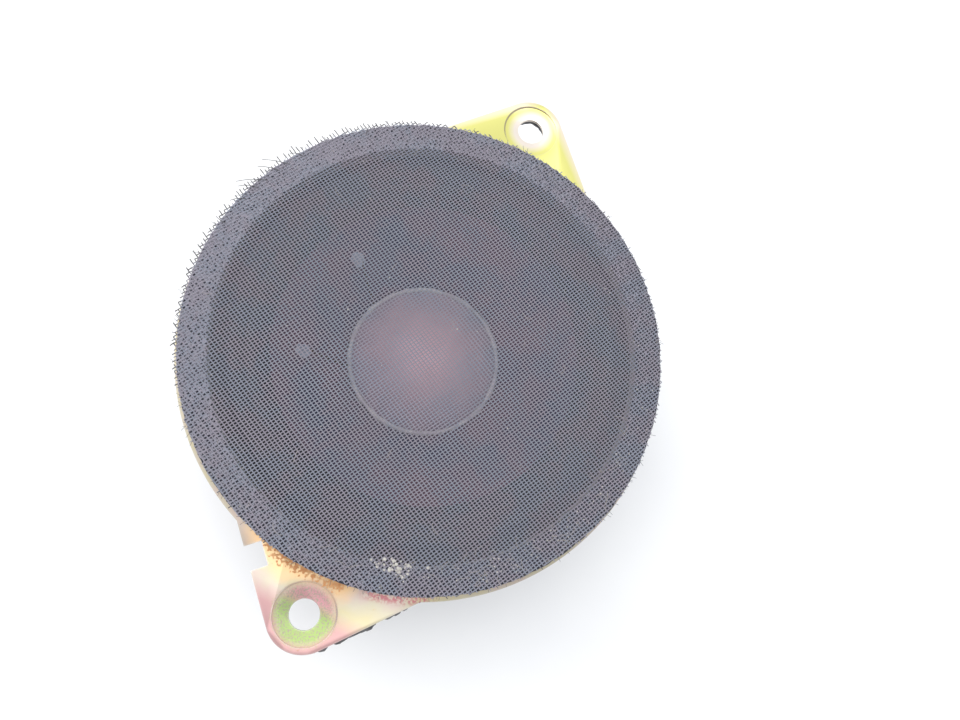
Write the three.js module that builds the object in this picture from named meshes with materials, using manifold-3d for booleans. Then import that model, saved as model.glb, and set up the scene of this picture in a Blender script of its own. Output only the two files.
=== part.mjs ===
// A small dashboard loudspeaker of the kind sold as a car tweeter, in millimetres.
// It stands on its magnet with the cloth-covered front facing +Z. The origin is the centre of
// the magnet's rear face, and X runs through the two mounting ears, the notched ear at -X.
import * as THREE from "three";
import { mergeVertices } from "three/addons/utils/BufferGeometryUtils.js";
import Module from "manifold-3d";

const wasm = await Module();
wasm.setup();

// ---- Driving dimensions ----------------------------------------------------------------------

const GAP = 0.1; // clearance between pieces that are stacked or glued together
const SMOOTH = 56; // facets of the large rings
const COARSE = 36; // facets of the small or hidden rings

// Heights of the stack, from the magnet's rear face upwards.
const BACK_PLATE_TOP = 3.5;
const MAGNET_TOP = 12.4;
const TOP_PLATE_TOP = 16.3;
const SHELF_TOP = 23.05;
const FLANGE_TOP = 38;
const SURROUND_LAND_TOP = 38.5;
const GASKET_TOP = 41.8;
const CLOTH_THICKNESS = 0.3;
const REAR_GASKET_BOTTOM = 34.5;

// Stamped steel basket.
const STEEL = 0.9;
const FLANGE_RADIUS = 45;
const BASE_HOLE_RADIUS = 13.5;
const NECK_RADIUS = 37;
const EAR_OFFSET = 51; // speaker axis to each mounting hole
const EAR_RADIUS = 6.5;
const EAR_EDGE_ANGLE = THREE.MathUtils.degToRad(42); // between an ear's edge and the X axis
const SCREW_HOLE_RADIUS = 2.6;
const SCREW_PAD_RADIUS = 5.4;
const SCREW_PAD_DEPTH = 0.25;
const NOTCH_WIDTH = 4.3;
const NOTCH_DEPTH = 3;
const NOTCH_FROM_TANGENT = 11.9; // along the ear's edge, tangent point to the notch's middle
const WINDOW_COUNT = 4;
const WINDOW_HALF_ANGLE = THREE.MathUtils.degToRad(32);
const WINDOW_LOW = 24.4;
const WINDOW_HIGH = 34.1;
const LUG_HALF_WIDTH = 4;
const LUG_END = 37;

// Motor.
const PLATE_RADIUS = 25;
const MAGNET_RADIUS = 27.5;
const MAGNET_BORE = 13;
const POLE_RADIUS = 9.6;
const POLE_SPIGOT_RADIUS = 6;
const TOP_PLATE_BORE = 11;
const STAKE_COUNT = 4;
const STAKE_CIRCLE = 16;
const STAKE_RADIUS = 1.4;
const STAKE_HEAD_RADIUS = 2.2;
const STAKE_HEAD_HEIGHT = 0.7;

// Moving assembly.
const FORMER_INNER = 9.95;
const FORMER_WALL = 0.25;
const FORMER_BOTTOM = 11;
const FORMER_TOP = 28.4;
const WINDING_WALL = 0.4;
const WINDING_BOTTOM = 11.2;
const WINDING_TOP = 17.6;
const CONE_NECK = [10.6, 27.1]; // radius and height of the paper's middle surface
const CONE_EDGE = [30.3, 37.75];
const PAPER = 0.5;
const CAP_RADIUS = 14.3;
const CAP_RISE = 4.7;
const CAP_WALL = 0.4;
const DAB_RADIUS = 23; // speaker axis to each lacquer dab
const DAB_ANGLES = { positive: 59.5, negative: 113.5 }; // degrees from +X

// Terminal side, at +Y.
const BOARD_TOP = 21.85;
const BOARD_THICKNESS = 1.6;
const BOARD_HALF_WIDTH = 10;
const BOARD_NEAR = 26.8;
const BOARD_FAR = 39.5;
const TERMINAL_X = 7;
const TERMINAL_THICKNESS = 0.8;
const TERMINAL_END = 44;
const BOARD_RIVETS = { inner: 30, outer: 34.6 }; // Y of each rivet
const CAPACITOR_RADIUS = 4;
const CAPACITOR_Y = 32.3;
const CAPACITOR_FROM = -9;
const CAPACITOR_TO = 3.5;
const CAPACITOR_LEAD_PITCH = 3.5;
const CAPACITOR_LEAD_RADIUS = 0.3;

// ---- Shape helpers ---------------------------------------------------------------------------

/** A closed three.js geometry as a manifold solid. */
function solid(geometry) {
  const bare = geometry.clone();
  bare.deleteAttribute("normal");
  bare.deleteAttribute("uv");
  const merged = mergeVertices(bare, 1e-4);
  return new wasm.Manifold(
    new wasm.Mesh({
      numProp: 3,
      vertProperties: merged.attributes.position.array,
      triVerts: new Uint32Array(merged.index.array),
    }),
  );
}

/** A manifold solid as a three.js geometry, without the slivers that cutting leaves. */
function geometryOf(body) {
  const mesh = body.simplify(0.01).getMesh();
  const geometry = new THREE.BufferGeometry();
  geometry.setAttribute("position", new THREE.BufferAttribute(mesh.vertProperties, 3));
  geometry.setIndex(new THREE.BufferAttribute(mesh.triVerts, 1));
  geometry.computeVertexNormals();
  return geometry;
}

/** Turns an outline of [radius, height] pairs round the Z axis. */
function revolve(outline, facets = SMOOTH) {
  const points = outline.map(([radius, height]) => new THREE.Vector2(radius, height));
  if (THREE.ShapeUtils.area(points) < 0) points.reverse();
  points.push(points[0].clone());
  return new THREE.LatheGeometry(points, facets).rotateX(Math.PI / 2);
}

/** A flat ring or disc between two heights. */
function ring(inner, outer, bottom, top, facets = SMOOTH) {
  return revolve([[inner, bottom], [outer, bottom], [outer, top], [inner, top]], facets);
}

/** A line of [radius, height] pairs given a thickness, as a closed outline. */
function thicken(line, thickness) {
  const offset = line.map((point, i) => {
    const before = line[Math.max(i - 1, 0)];
    const after = line[Math.min(i + 1, line.length - 1)];
    const along = new THREE.Vector2(after[0] - before[0], after[1] - before[1]).normalize();
    return [(-along.y * thickness) / 2, (along.x * thickness) / 2];
  });
  const upper = line.map(([r, z], i) => [r + offset[i][0], z + offset[i][1]]);
  const lower = line.map(([r, z], i) => [r - offset[i][0], z - offset[i][1]]);
  return [...lower, ...upper.reverse()];
}

/** A flat plate of the given outline, from one height up by its thickness. */
function plate(shape, bottom, thickness, curveSegments = 12) {
  const options = { depth: thickness, bevelEnabled: false, curveSegments };
  return new THREE.ExtrudeGeometry(shape, options).translate(0, 0, bottom);
}

/** An upright cylinder between two heights. */
function peg(x, y, radius, bottom, top, facets = 16) {
  const upright = new THREE.CylinderGeometry(radius, radius, top - bottom, facets);
  return upright.rotateX(Math.PI / 2).translate(x, y, (bottom + top) / 2);
}

/** A round wire along a smooth curve through the points. */
function wire(points, radius, steps, sides = 8) {
  const curve = new THREE.CatmullRomCurve3(points.map((p) => new THREE.Vector3(...p)), false, "centripetal");
  const section = new THREE.Shape();
  section.absarc(0, 0, radius, 0, Math.PI * 2, false);
  const options = { steps, extrudePath: curve, curveSegments: sides / 2, bevelEnabled: false };
  return new THREE.ExtrudeGeometry(section, options);
}

/** A rectangle as a shape. */
function rectangle(x0, y0, x1, y1) {
  const shape = new THREE.Shape();
  shape.moveTo(x0, y0).lineTo(x1, y0).lineTo(x1, y1).lineTo(x0, y1).closePath();
  return shape;
}

const root = new THREE.Group();

/** Adds one named piece to the assembly. */
function piece(name, geometry, material) {
  const mesh = new THREE.Mesh(geometry, material);
  mesh.name = name;
  root.add(mesh);
  return mesh;
}

// ---- Materials -------------------------------------------------------------------------------

const finish = (color, roughness, metalness) =>
  new THREE.MeshStandardMaterial({ color, roughness, metalness });
const zincYellow = finish(0xd9c27a, 0.35, 0.9);
const zincPlate = finish(0xb9bbbc, 0.4, 0.9);
const ferrite = finish(0x3a3a3c, 0.7, 0.1);
const cloth = finish(0x3b3d48, 0.9, 0);
const felt = finish(0x77757c, 0.95, 0);
const foam = finish(0x3c3b3a, 0.95, 0);
const paper = finish(0x1d1f26, 0.85, 0);
const treatedCloth = finish(0x22242b, 0.7, 0);
const spiderCloth = finish(0xb58a4a, 0.9, 0);
const aluminium = finish(0xb8bcc0, 0.4, 0.9);
const enamelledCopper = finish(0xa4562c, 0.4, 0.8);
const tinsel = finish(0xb07a4a, 0.5, 0.8);
const lacquer = finish(0x6f7f9a, 0.4, 0);
const laminate = finish(0x8a5a30, 0.6, 0);
const tin = finish(0xc9c9c4, 0.35, 0.9);
const sleeve = finish(0x1c2b4d, 0.4, 0);

// ---- Basket ----------------------------------------------------------------------------------

/** The outline of one ear at +X, grown outwards by the margin, running in under the flange. */
function earShape(margin = 0) {
  const radius = EAR_RADIUS + margin;
  const normal = Math.PI / 2 - EAR_EDGE_ANGLE;
  const tangentX = EAR_OFFSET + radius * Math.cos(normal);
  const tangentY = radius * Math.sin(normal);
  const rootX = EAR_OFFSET - 11;
  const rootY = tangentY + (tangentX - rootX) * Math.tan(EAR_EDGE_ANGLE);
  const shape = new THREE.Shape();
  shape.moveTo(rootX, -rootY);
  shape.lineTo(tangentX, -tangentY);
  shape.absarc(EAR_OFFSET, 0, radius, -normal, normal, false);
  shape.lineTo(rootX, rootY);
  shape.closePath();
  return shape;
}

/** Both ears between two heights, the second turned half a turn about the axis. */
function ears(bottom, thickness, margin = 0) {
  const plain = solid(plate(earShape(margin), bottom, thickness));
  return plain.add(plain.rotate([0, 0, 180]));
}

/** The block that cuts the notch in the edge of the ear at -X, on its +Y side. */
function notchBlock() {
  const along = NOTCH_FROM_TANGENT;
  const normal = Math.PI / 2 - EAR_EDGE_ANGLE;
  const x = EAR_OFFSET + EAR_RADIUS * Math.cos(normal) - along * Math.cos(EAR_EDGE_ANGLE);
  const y = EAR_RADIUS * Math.sin(normal) + along * Math.sin(EAR_EDGE_ANGLE);
  const block = new THREE.BoxGeometry(NOTCH_WIDTH, NOTCH_DEPTH * 2, 12);
  return solid(block.rotateZ(EAR_EDGE_ANGLE).translate(-x, y, FLANGE_TOP));
}

/** The pressed bowl in section: base, wall up to the spider shelf, sloping arms, neck, flange. */
function basketSection() {
  const half = STEEL / 2;
  const base = TOP_PLATE_TOP + GAP + half;
  const shelf = SHELF_TOP - half;
  const flange = FLANGE_TOP - half;
  return thicken(
    [
      [BASE_HOLE_RADIUS, base],
      [18.7, base],
      [19.7, shelf - 0.6],
      [20.3, shelf],
      [25.2, shelf],
      [26, shelf + 0.5],
      [35.2, flange - 3.2],
      [NECK_RADIUS - 0.6, flange - 1.1],
      [NECK_RADIUS + 0.6, flange],
      [FLANGE_RADIUS, flange],
    ],
    STEEL,
  );
}

/** One ventilation window's cutter, centred on +X. */
function windowBlock() {
  const shape = new THREE.Shape();
  shape.absarc(0, 0, 24, -WINDOW_HALF_ANGLE, WINDOW_HALF_ANGLE, false);
  shape.absarc(0, 0, 42, WINDOW_HALF_ANGLE, -WINDOW_HALF_ANGLE, true);
  shape.closePath();
  return solid(plate(shape, WINDOW_LOW, WINDOW_HIGH - WINDOW_LOW, 6));
}

/** The whole stamping, with its ears, screw holes, notch, windows, stake holes and terminal lug. */
function basket() {
  const flangeBottom = FLANGE_TOP - STEEL;
  let body = solid(revolve(basketSection())).add(ears(flangeBottom, STEEL));
  for (const side of [-1, 1]) {
    const x = side * EAR_OFFSET;
    body = body.subtract(solid(peg(x, 0, SCREW_HOLE_RADIUS, flangeBottom - 1, FLANGE_TOP + 1, 32)));
    body = body.subtract(solid(peg(x, 0, SCREW_PAD_RADIUS, FLANGE_TOP - SCREW_PAD_DEPTH, FLANGE_TOP + 1, 40)));
  }
  body = body.subtract(notchBlock());
  const opening = windowBlock();
  for (let i = 0; i < WINDOW_COUNT; i++) {
    body = body.subtract(opening.rotate([0, 0, (i * 360) / WINDOW_COUNT]));
  }
  const lug = rectangle(-LUG_HALF_WIDTH, 24, LUG_HALF_WIDTH, LUG_END);
  body = body.add(solid(plate(lug, SHELF_TOP - STEEL + 0.05, STEEL - 0.15)));
  for (const y of Object.values(BOARD_RIVETS)) {
    body = body.subtract(solid(peg(0, y, 1.6, SHELF_TOP - 2, SHELF_TOP + 1)));
  }
  for (const [x, y] of stakePlaces()) {
    body = body.subtract(solid(peg(x, y, STAKE_RADIUS + 0.3, TOP_PLATE_TOP, TOP_PLATE_TOP + 2)));
  }
  return geometryOf(body);
}

/** Where the top plate's stakes pass through the basket's base. */
function stakePlaces() {
  return Array.from({ length: STAKE_COUNT }, (_, i) => {
    const angle = ((i + 0.5) * 2 * Math.PI) / STAKE_COUNT;
    return [STAKE_CIRCLE * Math.cos(angle), STAKE_CIRCLE * Math.sin(angle)];
  });
}

piece("basket", basket(), zincYellow);

// ---- Gaskets and grille cloth ----------------------------------------------------------------

piece("front_gasket", ring(39, 44, SURROUND_LAND_TOP + GAP, GASKET_TOP), felt);
piece("grille_cloth", revolve([[0, GASKET_TOP + GAP], [44, GASKET_TOP + GAP],
  [44, GASKET_TOP + GAP + CLOTH_THICKNESS], [0, GASKET_TOP + GAP + CLOTH_THICKNESS]]), cloth);

/** The foam seal behind the flange and its ears. */
function rearGasket() {
  const top = FLANGE_TOP - STEEL - GAP;
  const height = top - REAR_GASKET_BOTTOM;
  let body = solid(peg(0, 0, FLANGE_RADIUS - 0.6, REAR_GASKET_BOTTOM, top, SMOOTH));
  body = body.add(ears(REAR_GASKET_BOTTOM, height, -0.4));
  body = body.subtract(solid(peg(0, 0, NECK_RADIUS + 1.6, REAR_GASKET_BOTTOM - 1, top + 1, SMOOTH)));
  for (const side of [-1, 1]) {
    const hole = peg(side * EAR_OFFSET, 0, SCREW_HOLE_RADIUS + 0.5, REAR_GASKET_BOTTOM - 1, top + 1);
    body = body.subtract(solid(hole));
  }
  return geometryOf(body.subtract(notchBlock()));
}

piece("rear_gasket", rearGasket(), foam);

// ---- Motor -----------------------------------------------------------------------------------

/** The washer over the magnet, with the stakes that hold the basket down. */
function topPlate() {
  let body = solid(ring(TOP_PLATE_BORE, PLATE_RADIUS, MAGNET_TOP + GAP, TOP_PLATE_TOP));
  const headBottom = TOP_PLATE_TOP + STEEL + 2 * GAP;
  for (const [x, y] of stakePlaces()) {
    body = body.add(solid(peg(x, y, STAKE_RADIUS, TOP_PLATE_TOP - 1, headBottom + 0.3)));
    body = body.add(solid(peg(x, y, STAKE_HEAD_RADIUS, headBottom, headBottom + STAKE_HEAD_HEIGHT)));
  }
  return geometryOf(body);
}

/** A ferrite ring with broken edges. */
function magnetSection() {
  const edge = 0.6;
  const bottom = BACK_PLATE_TOP + GAP;
  return [
    [MAGNET_BORE, bottom],
    [MAGNET_RADIUS - edge, bottom],
    [MAGNET_RADIUS, bottom + edge],
    [MAGNET_RADIUS, MAGNET_TOP - edge],
    [MAGNET_RADIUS - edge, MAGNET_TOP],
    [MAGNET_BORE, MAGNET_TOP],
  ];
}

/** The turned pole, with the spigot that is pressed through the back plate. */
function poleSection() {
  const shoulder = BACK_PLATE_TOP + GAP;
  const top = TOP_PLATE_TOP + 0.3;
  return [
    [0, 0],
    [POLE_SPIGOT_RADIUS, 0],
    [POLE_SPIGOT_RADIUS, shoulder],
    [POLE_RADIUS, shoulder],
    [POLE_RADIUS, top - 0.5],
    [POLE_RADIUS - 0.5, top],
    [0, top],
  ];
}

piece("top_plate", topPlate(), zincPlate);
piece("magnet", revolve(magnetSection()), ferrite);
piece("back_plate", ring(POLE_SPIGOT_RADIUS + GAP, PLATE_RADIUS, 0, BACK_PLATE_TOP), zincPlate);
piece("pole_piece", revolve(poleSection(), COARSE), zincPlate);

// ---- Moving assembly -------------------------------------------------------------------------

/** Height of the cone paper's middle surface at a radius. */
function coneHeight(radius) {
  const share = (radius - CONE_NECK[0]) / (CONE_EDGE[0] - CONE_NECK[0]);
  return CONE_NECK[1] + share * (CONE_EDGE[1] - CONE_NECK[1]);
}

const CONE_SLOPE = Math.atan2(CONE_EDGE[1] - CONE_NECK[1], CONE_EDGE[0] - CONE_NECK[0]);

/** A point a distance in front of the cone's middle surface, at a radius and an angle. */
function onCone(radius, degrees, above) {
  const angle = THREE.MathUtils.degToRad(degrees);
  const r = radius - above * Math.sin(CONE_SLOPE);
  const z = coneHeight(radius) + above * Math.cos(CONE_SLOPE);
  return [r * Math.cos(angle), r * Math.sin(angle), z];
}

/** The double-roll surround: glued lip on the cone, two rolls, and the land under the gasket. */
function surroundSection() {
  const land = FLANGE_TOP + GAP + 0.2;
  return thicken(
    [
      [28.8, 37.6],
      [30.3, 38.4],
      [31.4, 39.4],
      [32.3, 39.3],
      [33, 38.7],
      [33.8, 39.6],
      [34.8, 40],
      [35.8, 39.6],
      [37.2, land],
      [43, land],
    ],
    0.4,
  );
}

/** The corrugated spider, from its collar on the coil former to its rim on the basket's shelf. */
function spiderSection() {
  const [collar, rolls, wave, swing] = [10.5, 3, 2.9, 0.6];
  const middle = 24.4;
  const line = [[collar, middle + 1], [collar + 0.5, middle]];
  for (let half = 1; half <= rolls * 2; half++) {
    line.push([collar + 0.5 + (half * wave) / 2, middle + (half % 2 ? swing : -swing)]);
  }
  const rim = SHELF_TOP + GAP + 0.2;
  line.push([20.6, rim], [24.4, rim]);
  return thicken(line, 0.35);
}

/** The domed dust cap in section, outer face then inner face, both ending on the axis. */
function capSection() {
  const edge = coneHeight(CAP_RADIUS) + 0.75;
  const steps = 5;
  const dome = (lift) =>
    Array.from({ length: steps + 1 }, (_, i) => {
      const radius = (CAP_RADIUS * (steps - i)) / steps;
      return [radius, edge + lift + CAP_RISE * (1 - (radius / CAP_RADIUS) ** 2)];
    });
  return [...dome(CAP_WALL), ...dome(0).reverse()];
}

const formerOuter = FORMER_INNER + FORMER_WALL;
const windingInner = formerOuter + 0.05;
piece("surround", revolve(surroundSection()), treatedCloth);
piece("cone", revolve(thicken([CONE_NECK, [20, coneHeight(20)], CONE_EDGE], PAPER)), paper);
piece("dust_cap", revolve(capSection(), COARSE), paper);
piece("coil_former", ring(FORMER_INNER, formerOuter, FORMER_BOTTOM, FORMER_TOP, COARSE), aluminium);
piece("coil_winding", ring(windingInner, windingInner + WINDING_WALL, WINDING_BOTTOM, WINDING_TOP, COARSE),
  enamelledCopper);
piece("spider", revolve(spiderSection(), COARSE), spiderCloth);

for (const [pole, degrees] of Object.entries(DAB_ANGLES)) {
  const wireRadius = 0.2;
  const above = PAPER / 2 + GAP + wireRadius;
  const run = [15.2, 17, 19, 20.8].map((radius) => onCone(radius, degrees + (21 - radius), above));
  piece("coil_wire_" + pole, wire(run, wireRadius, 6, 6), enamelledCopper);
  const dab = new THREE.SphereGeometry(1, 16, 8).scale(1.7, 1.35, 0.45);
  const mesh = piece("lead_dab_" + pole, dab, lacquer);
  mesh.position.set(...onCone(DAB_RADIUS, degrees, PAPER / 2 + 0.45 + 0.15));
  mesh.rotation.set(0, -CONE_SLOPE, THREE.MathUtils.degToRad(degrees), "ZYX");
}

// ---- Terminals, capacitor and leads ----------------------------------------------------------

const boardBottom = BOARD_TOP - BOARD_THICKNESS;
const terminalBottom = BOARD_TOP + GAP;
const terminalTop = terminalBottom + TERMINAL_THICKNESS;
const capacitorHeight = boardBottom - 1 - CAPACITOR_RADIUS;
const capacitorLeadYs = {
  in: CAPACITOR_Y + CAPACITOR_LEAD_PITCH / 2,
  out: CAPACITOR_Y - CAPACITOR_LEAD_PITCH / 2,
};
const terminalRivets = {
  positive: [TERMINAL_X, 36.6],
  negative: [-TERMINAL_X, 34.6],
  tag: [TERMINAL_X, 28.2],
};

/** Cuts an upright round hole through a solid that lies near the board. */
function drilled(body, x, y, radius) {
  return body.subtract(solid(peg(x, y, radius, boardBottom - 2, terminalTop + 2, 16)));
}

/** The phenolic board with its holes for rivets and capacitor leads. */
function terminalBoard() {
  const outline = rectangle(-BOARD_HALF_WIDTH, BOARD_NEAR, BOARD_HALF_WIDTH, BOARD_FAR);
  let body = solid(plate(outline, boardBottom, BOARD_THICKNESS));
  for (const y of Object.values(BOARD_RIVETS)) body = drilled(body, 0, y, 1.6);
  for (const [x, y] of Object.values(terminalRivets)) body = drilled(body, x, y, 0.9);
  for (const y of Object.values(capacitorLeadYs)) body = drilled(body, TERMINAL_X, y, 0.5);
  return geometryOf(body);
}

/** A flat terminal on the board: a root of the given length, then a push-on blade beyond the board. */
function terminal(x, width, from, holes) {
  const half = width / 2;
  const shoulder = BOARD_FAR - 1.2;
  const nose = 0.9;
  const shape = new THREE.Shape();
  shape.moveTo(x - 1.5, from).lineTo(x + 1.5, from).lineTo(x + half, shoulder);
  shape.lineTo(x + half, TERMINAL_END - nose).lineTo(x + half - nose, TERMINAL_END);
  shape.lineTo(x - half + nose, TERMINAL_END).lineTo(x - half, TERMINAL_END - nose);
  shape.lineTo(x - half, shoulder).closePath();
  let body = solid(plate(shape, terminalBottom, TERMINAL_THICKNESS));
  for (const [holeX, holeY, radius] of holes) body = drilled(body, holeX, holeY, radius);
  return geometryOf(body);
}

/** The solder tag between the capacitor and the positive lead. */
function solderTag() {
  const shape = rectangle(TERMINAL_X - 1.5, 26.6, TERMINAL_X + 1.5, capacitorLeadYs.out + 1.3);
  let body = solid(plate(shape, terminalBottom, TERMINAL_THICKNESS));
  body = drilled(body, TERMINAL_X, capacitorLeadYs.out, 0.5);
  return geometryOf(drilled(body, ...terminalRivets.tag, 0.9));
}

/** A rivet with a head above and a head below what it clamps. */
function rivet(x, y, shank, head, under, over) {
  const height = head * 0.3;
  const section = [[0, under - height], [head * 0.7, under - height], [head, under], [shank, under],
    [shank, over], [head, over], [head * 0.7, over + height], [0, over + height]];
  return revolve(section, 16).translate(x, y, 0);
}

piece("terminal_board", terminalBoard(), laminate);
piece("terminal_positive", terminal(TERMINAL_X, 4.8, capacitorLeadYs.in - 1.2,
  [[TERMINAL_X, capacitorLeadYs.in, 0.5], [...terminalRivets.positive, 0.9]]), tin);
piece("terminal_negative", terminal(-TERMINAL_X, 2.8, 29.4, [[...terminalRivets.negative, 0.9]]), tin);
piece("lead_tag", solderTag(), tin);
for (const [name, y] of Object.entries(BOARD_RIVETS)) {
  piece("board_rivet_" + name, rivet(0, y, 1.4, 2.1, boardBottom - GAP, SHELF_TOP + GAP), zincPlate);
}
for (const [name, [x, y]] of Object.entries(terminalRivets)) {
  piece("terminal_rivet_" + name, rivet(x, y, 0.75, 1.3, boardBottom - GAP, terminalTop + GAP), tin);
}

const canRoll = 0.5; // rounded rim at each end of the can
const can = [[0, 0], [CAPACITOR_RADIUS - canRoll, 0], [CAPACITOR_RADIUS, canRoll],
  [CAPACITOR_RADIUS, CAPACITOR_TO - CAPACITOR_FROM - canRoll],
  [CAPACITOR_RADIUS - canRoll, CAPACITOR_TO - CAPACITOR_FROM], [0, CAPACITOR_TO - CAPACITOR_FROM]];
piece("capacitor", revolve(can, 32), sleeve)
  .rotateY(Math.PI / 2)
  .position.set(CAPACITOR_FROM, CAPACITOR_Y, capacitorHeight);
for (const [name, y] of Object.entries(capacitorLeadYs)) {
  const bend = 1;
  const run = [
    [CAPACITOR_TO + GAP, y, capacitorHeight],
    [TERMINAL_X - bend, y, capacitorHeight],
    [TERMINAL_X - bend * 0.3, y, capacitorHeight + bend * 0.3],
    [TERMINAL_X, y, capacitorHeight + bend],
    [TERMINAL_X, y, boardBottom],
    [TERMINAL_X, y, terminalTop + 0.7],
  ];
  piece("capacitor_lead_" + name, wire(run, CAPACITOR_LEAD_RADIUS, 16), tin);
}

const leadStarts = {
  positive: [TERMINAL_X + 0.4, 26.9, terminalTop + 0.7],
  negative: [-TERMINAL_X - 0.2, 30.2, terminalTop + 0.7],
};
for (const [pole, start] of Object.entries(leadStarts)) {
  const end = onCone(DAB_RADIUS, DAB_ANGLES[pole], -(PAPER / 2 + 0.8));
  const drop = onCone(DAB_RADIUS, DAB_ANGLES[pole], -3.4);
  const side = Math.sign(start[0]);
  const slack = [start[0] + side * 1.8, 29.2, terminalTop + 3.6];
  piece("tinsel_lead_" + pole, wire([start, slack, drop, end], 0.45, 18), tinsel);
}

export default root;
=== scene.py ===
"""A small dashboard loudspeaker of the kind sold as a car tweeter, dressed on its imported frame.

The cloth front faces +Z, the magnet stands on the floor at z = 0, X runs through the two screw ears
(the notched one at -X) and the terminals are at +Y. Sizes are written in millimetres and turned into
metres by mm().
"""

import logging
import math
import random
from collections.abc import Callable, Iterator, Sequence
from contextlib import contextmanager
from dataclasses import dataclass
from enum import Enum

import bpy
import numpy as np
from mathutils import Matrix, Vector, noise


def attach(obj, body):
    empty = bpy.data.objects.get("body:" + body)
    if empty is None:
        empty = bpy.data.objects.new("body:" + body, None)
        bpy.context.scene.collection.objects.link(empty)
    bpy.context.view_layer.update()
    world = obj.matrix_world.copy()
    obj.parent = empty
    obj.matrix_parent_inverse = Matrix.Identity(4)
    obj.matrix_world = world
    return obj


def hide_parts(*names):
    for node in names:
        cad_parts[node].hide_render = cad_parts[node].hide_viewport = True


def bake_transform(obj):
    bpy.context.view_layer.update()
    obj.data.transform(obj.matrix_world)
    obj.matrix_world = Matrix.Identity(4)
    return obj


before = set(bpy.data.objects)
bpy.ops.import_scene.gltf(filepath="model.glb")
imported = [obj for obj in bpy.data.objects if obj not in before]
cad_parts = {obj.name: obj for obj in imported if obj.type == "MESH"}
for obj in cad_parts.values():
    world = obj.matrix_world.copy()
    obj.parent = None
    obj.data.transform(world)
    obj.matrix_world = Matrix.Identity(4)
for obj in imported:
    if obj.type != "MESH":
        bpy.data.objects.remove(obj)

LOG = logging.getLogger("tweeter")
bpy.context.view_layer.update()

Point = tuple[float, float, float]
Pair = tuple[float, float]
Colour = tuple[float, float, float]
Piece = bpy.types.Object
Material = bpy.types.Material
Socket = bpy.types.NodeSocket

PER_METRE = 1000.0  # millimetres
WELD = 0.0005  # millimetres: vertices nearer than this are one
DRILL_SPARE = 1  # millimetres that a cutting tool runs past the face it opens
CORNER_REACH, EDGE_REACH = 2.5, 0.5  # millimetres: how far the corner darkening (dirt and painted shade) and the edge wear look for a corner or an edge
OCCLUSION_SAMPLES = 6


def mm(value: float) -> float:
    """Returns millimetres as metres."""
    return value * 0.001


# ---- Bench tools: how every piece is modelled -------------------------------------------------


class Body(Enum):
    """The rigid bodies that a piece can ride on."""

    FRAME = "frame"
    DIAPHRAGM = "diaphragm"


def deselect() -> None:
    """Leaves edit mode, if need be, and selects nothing."""
    if bpy.context.object and bpy.context.object.mode != "OBJECT":
        bpy.ops.object.mode_set(mode="OBJECT")
    bpy.ops.object.select_all(action="DESELECT")


def choose(*pieces: Piece) -> None:
    """Selects the given pieces only and makes the first one active."""
    deselect()
    for piece in pieces:
        piece.select_set(True)
    bpy.context.view_layer.objects.active = pieces[0]


def named(name: str) -> Piece:
    """Names the active object and its mesh, and returns it."""
    piece = bpy.context.object
    piece.name = name
    piece.data.name = name
    return piece


@contextmanager
def editing(piece: Piece, all_selected: bool = True) -> Iterator[None]:
    """Opens a piece in edit mode for the length of a with block.

    Args:
        piece: The mesh object to edit.
        all_selected: Whether the whole mesh starts selected, or none of it.
    """
    choose(piece)
    bpy.ops.object.mode_set(mode="EDIT")
    bpy.ops.mesh.select_mode(type="VERT")
    bpy.ops.mesh.select_all(action="SELECT" if all_selected else "DESELECT")
    yield
    bpy.ops.object.mode_set(mode="OBJECT")


def trace(name: str, points: Sequence[Point]) -> Piece:
    """Draws a chain of vertices, one extrusion at a time.

    Args:
        name: The new piece's name.
        points: Where each vertex lies, in metres.

    Returns:
        The piece, open, with its last vertex selected.
    """
    deselect()
    bpy.ops.mesh.primitive_plane_add(size=mm(1), location=(0, 0, 0))
    piece = named(name)
    bpy.ops.object.mode_set(mode="EDIT")
    bpy.ops.mesh.select_mode(type="VERT")
    bpy.ops.mesh.merge(type="CENTER")
    bpy.ops.transform.translate(value=points[0])
    for before, after in zip(points, points[1:]):
        step = tuple(b - a for a, b in zip(before, after))
        bpy.ops.mesh.extrude_vertices_move(TRANSFORM_OT_translate={"value": step})
    bpy.ops.object.mode_set(mode="OBJECT")
    return piece


def revolve(name: str, outline: Sequence[Pair], steps: int = 160) -> Piece:
    """Turns a closed outline round the Z axis.

    Args:
        name: The new piece's name.
        outline: Radius and height of each corner in millimetres. It closes on itself.
        steps: How many facets go round.

    Returns:
        The turned piece, closed, with its faces outwards.
    """
    corners = [(mm(radius), 0.0, mm(height)) for radius, height in outline]
    piece = trace(name, corners + corners[:1])
    with editing(piece):
        bpy.ops.mesh.remove_doubles(threshold=mm(WELD))
        bpy.ops.mesh.select_all(action="SELECT")
        bpy.ops.mesh.spin(steps=steps, angle=math.tau, center=(0, 0, 0), axis=(0, 0, 1))
    with editing(piece):
        bpy.ops.mesh.remove_doubles(threshold=mm(WELD))
        bpy.ops.mesh.delete_loose()
        bpy.ops.mesh.select_all(action="SELECT")
        bpy.ops.mesh.dissolve_degenerate(threshold=mm(WELD))
        bpy.ops.mesh.select_all(action="SELECT")
        bpy.ops.mesh.normals_make_consistent(inside=False)
    return piece


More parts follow.
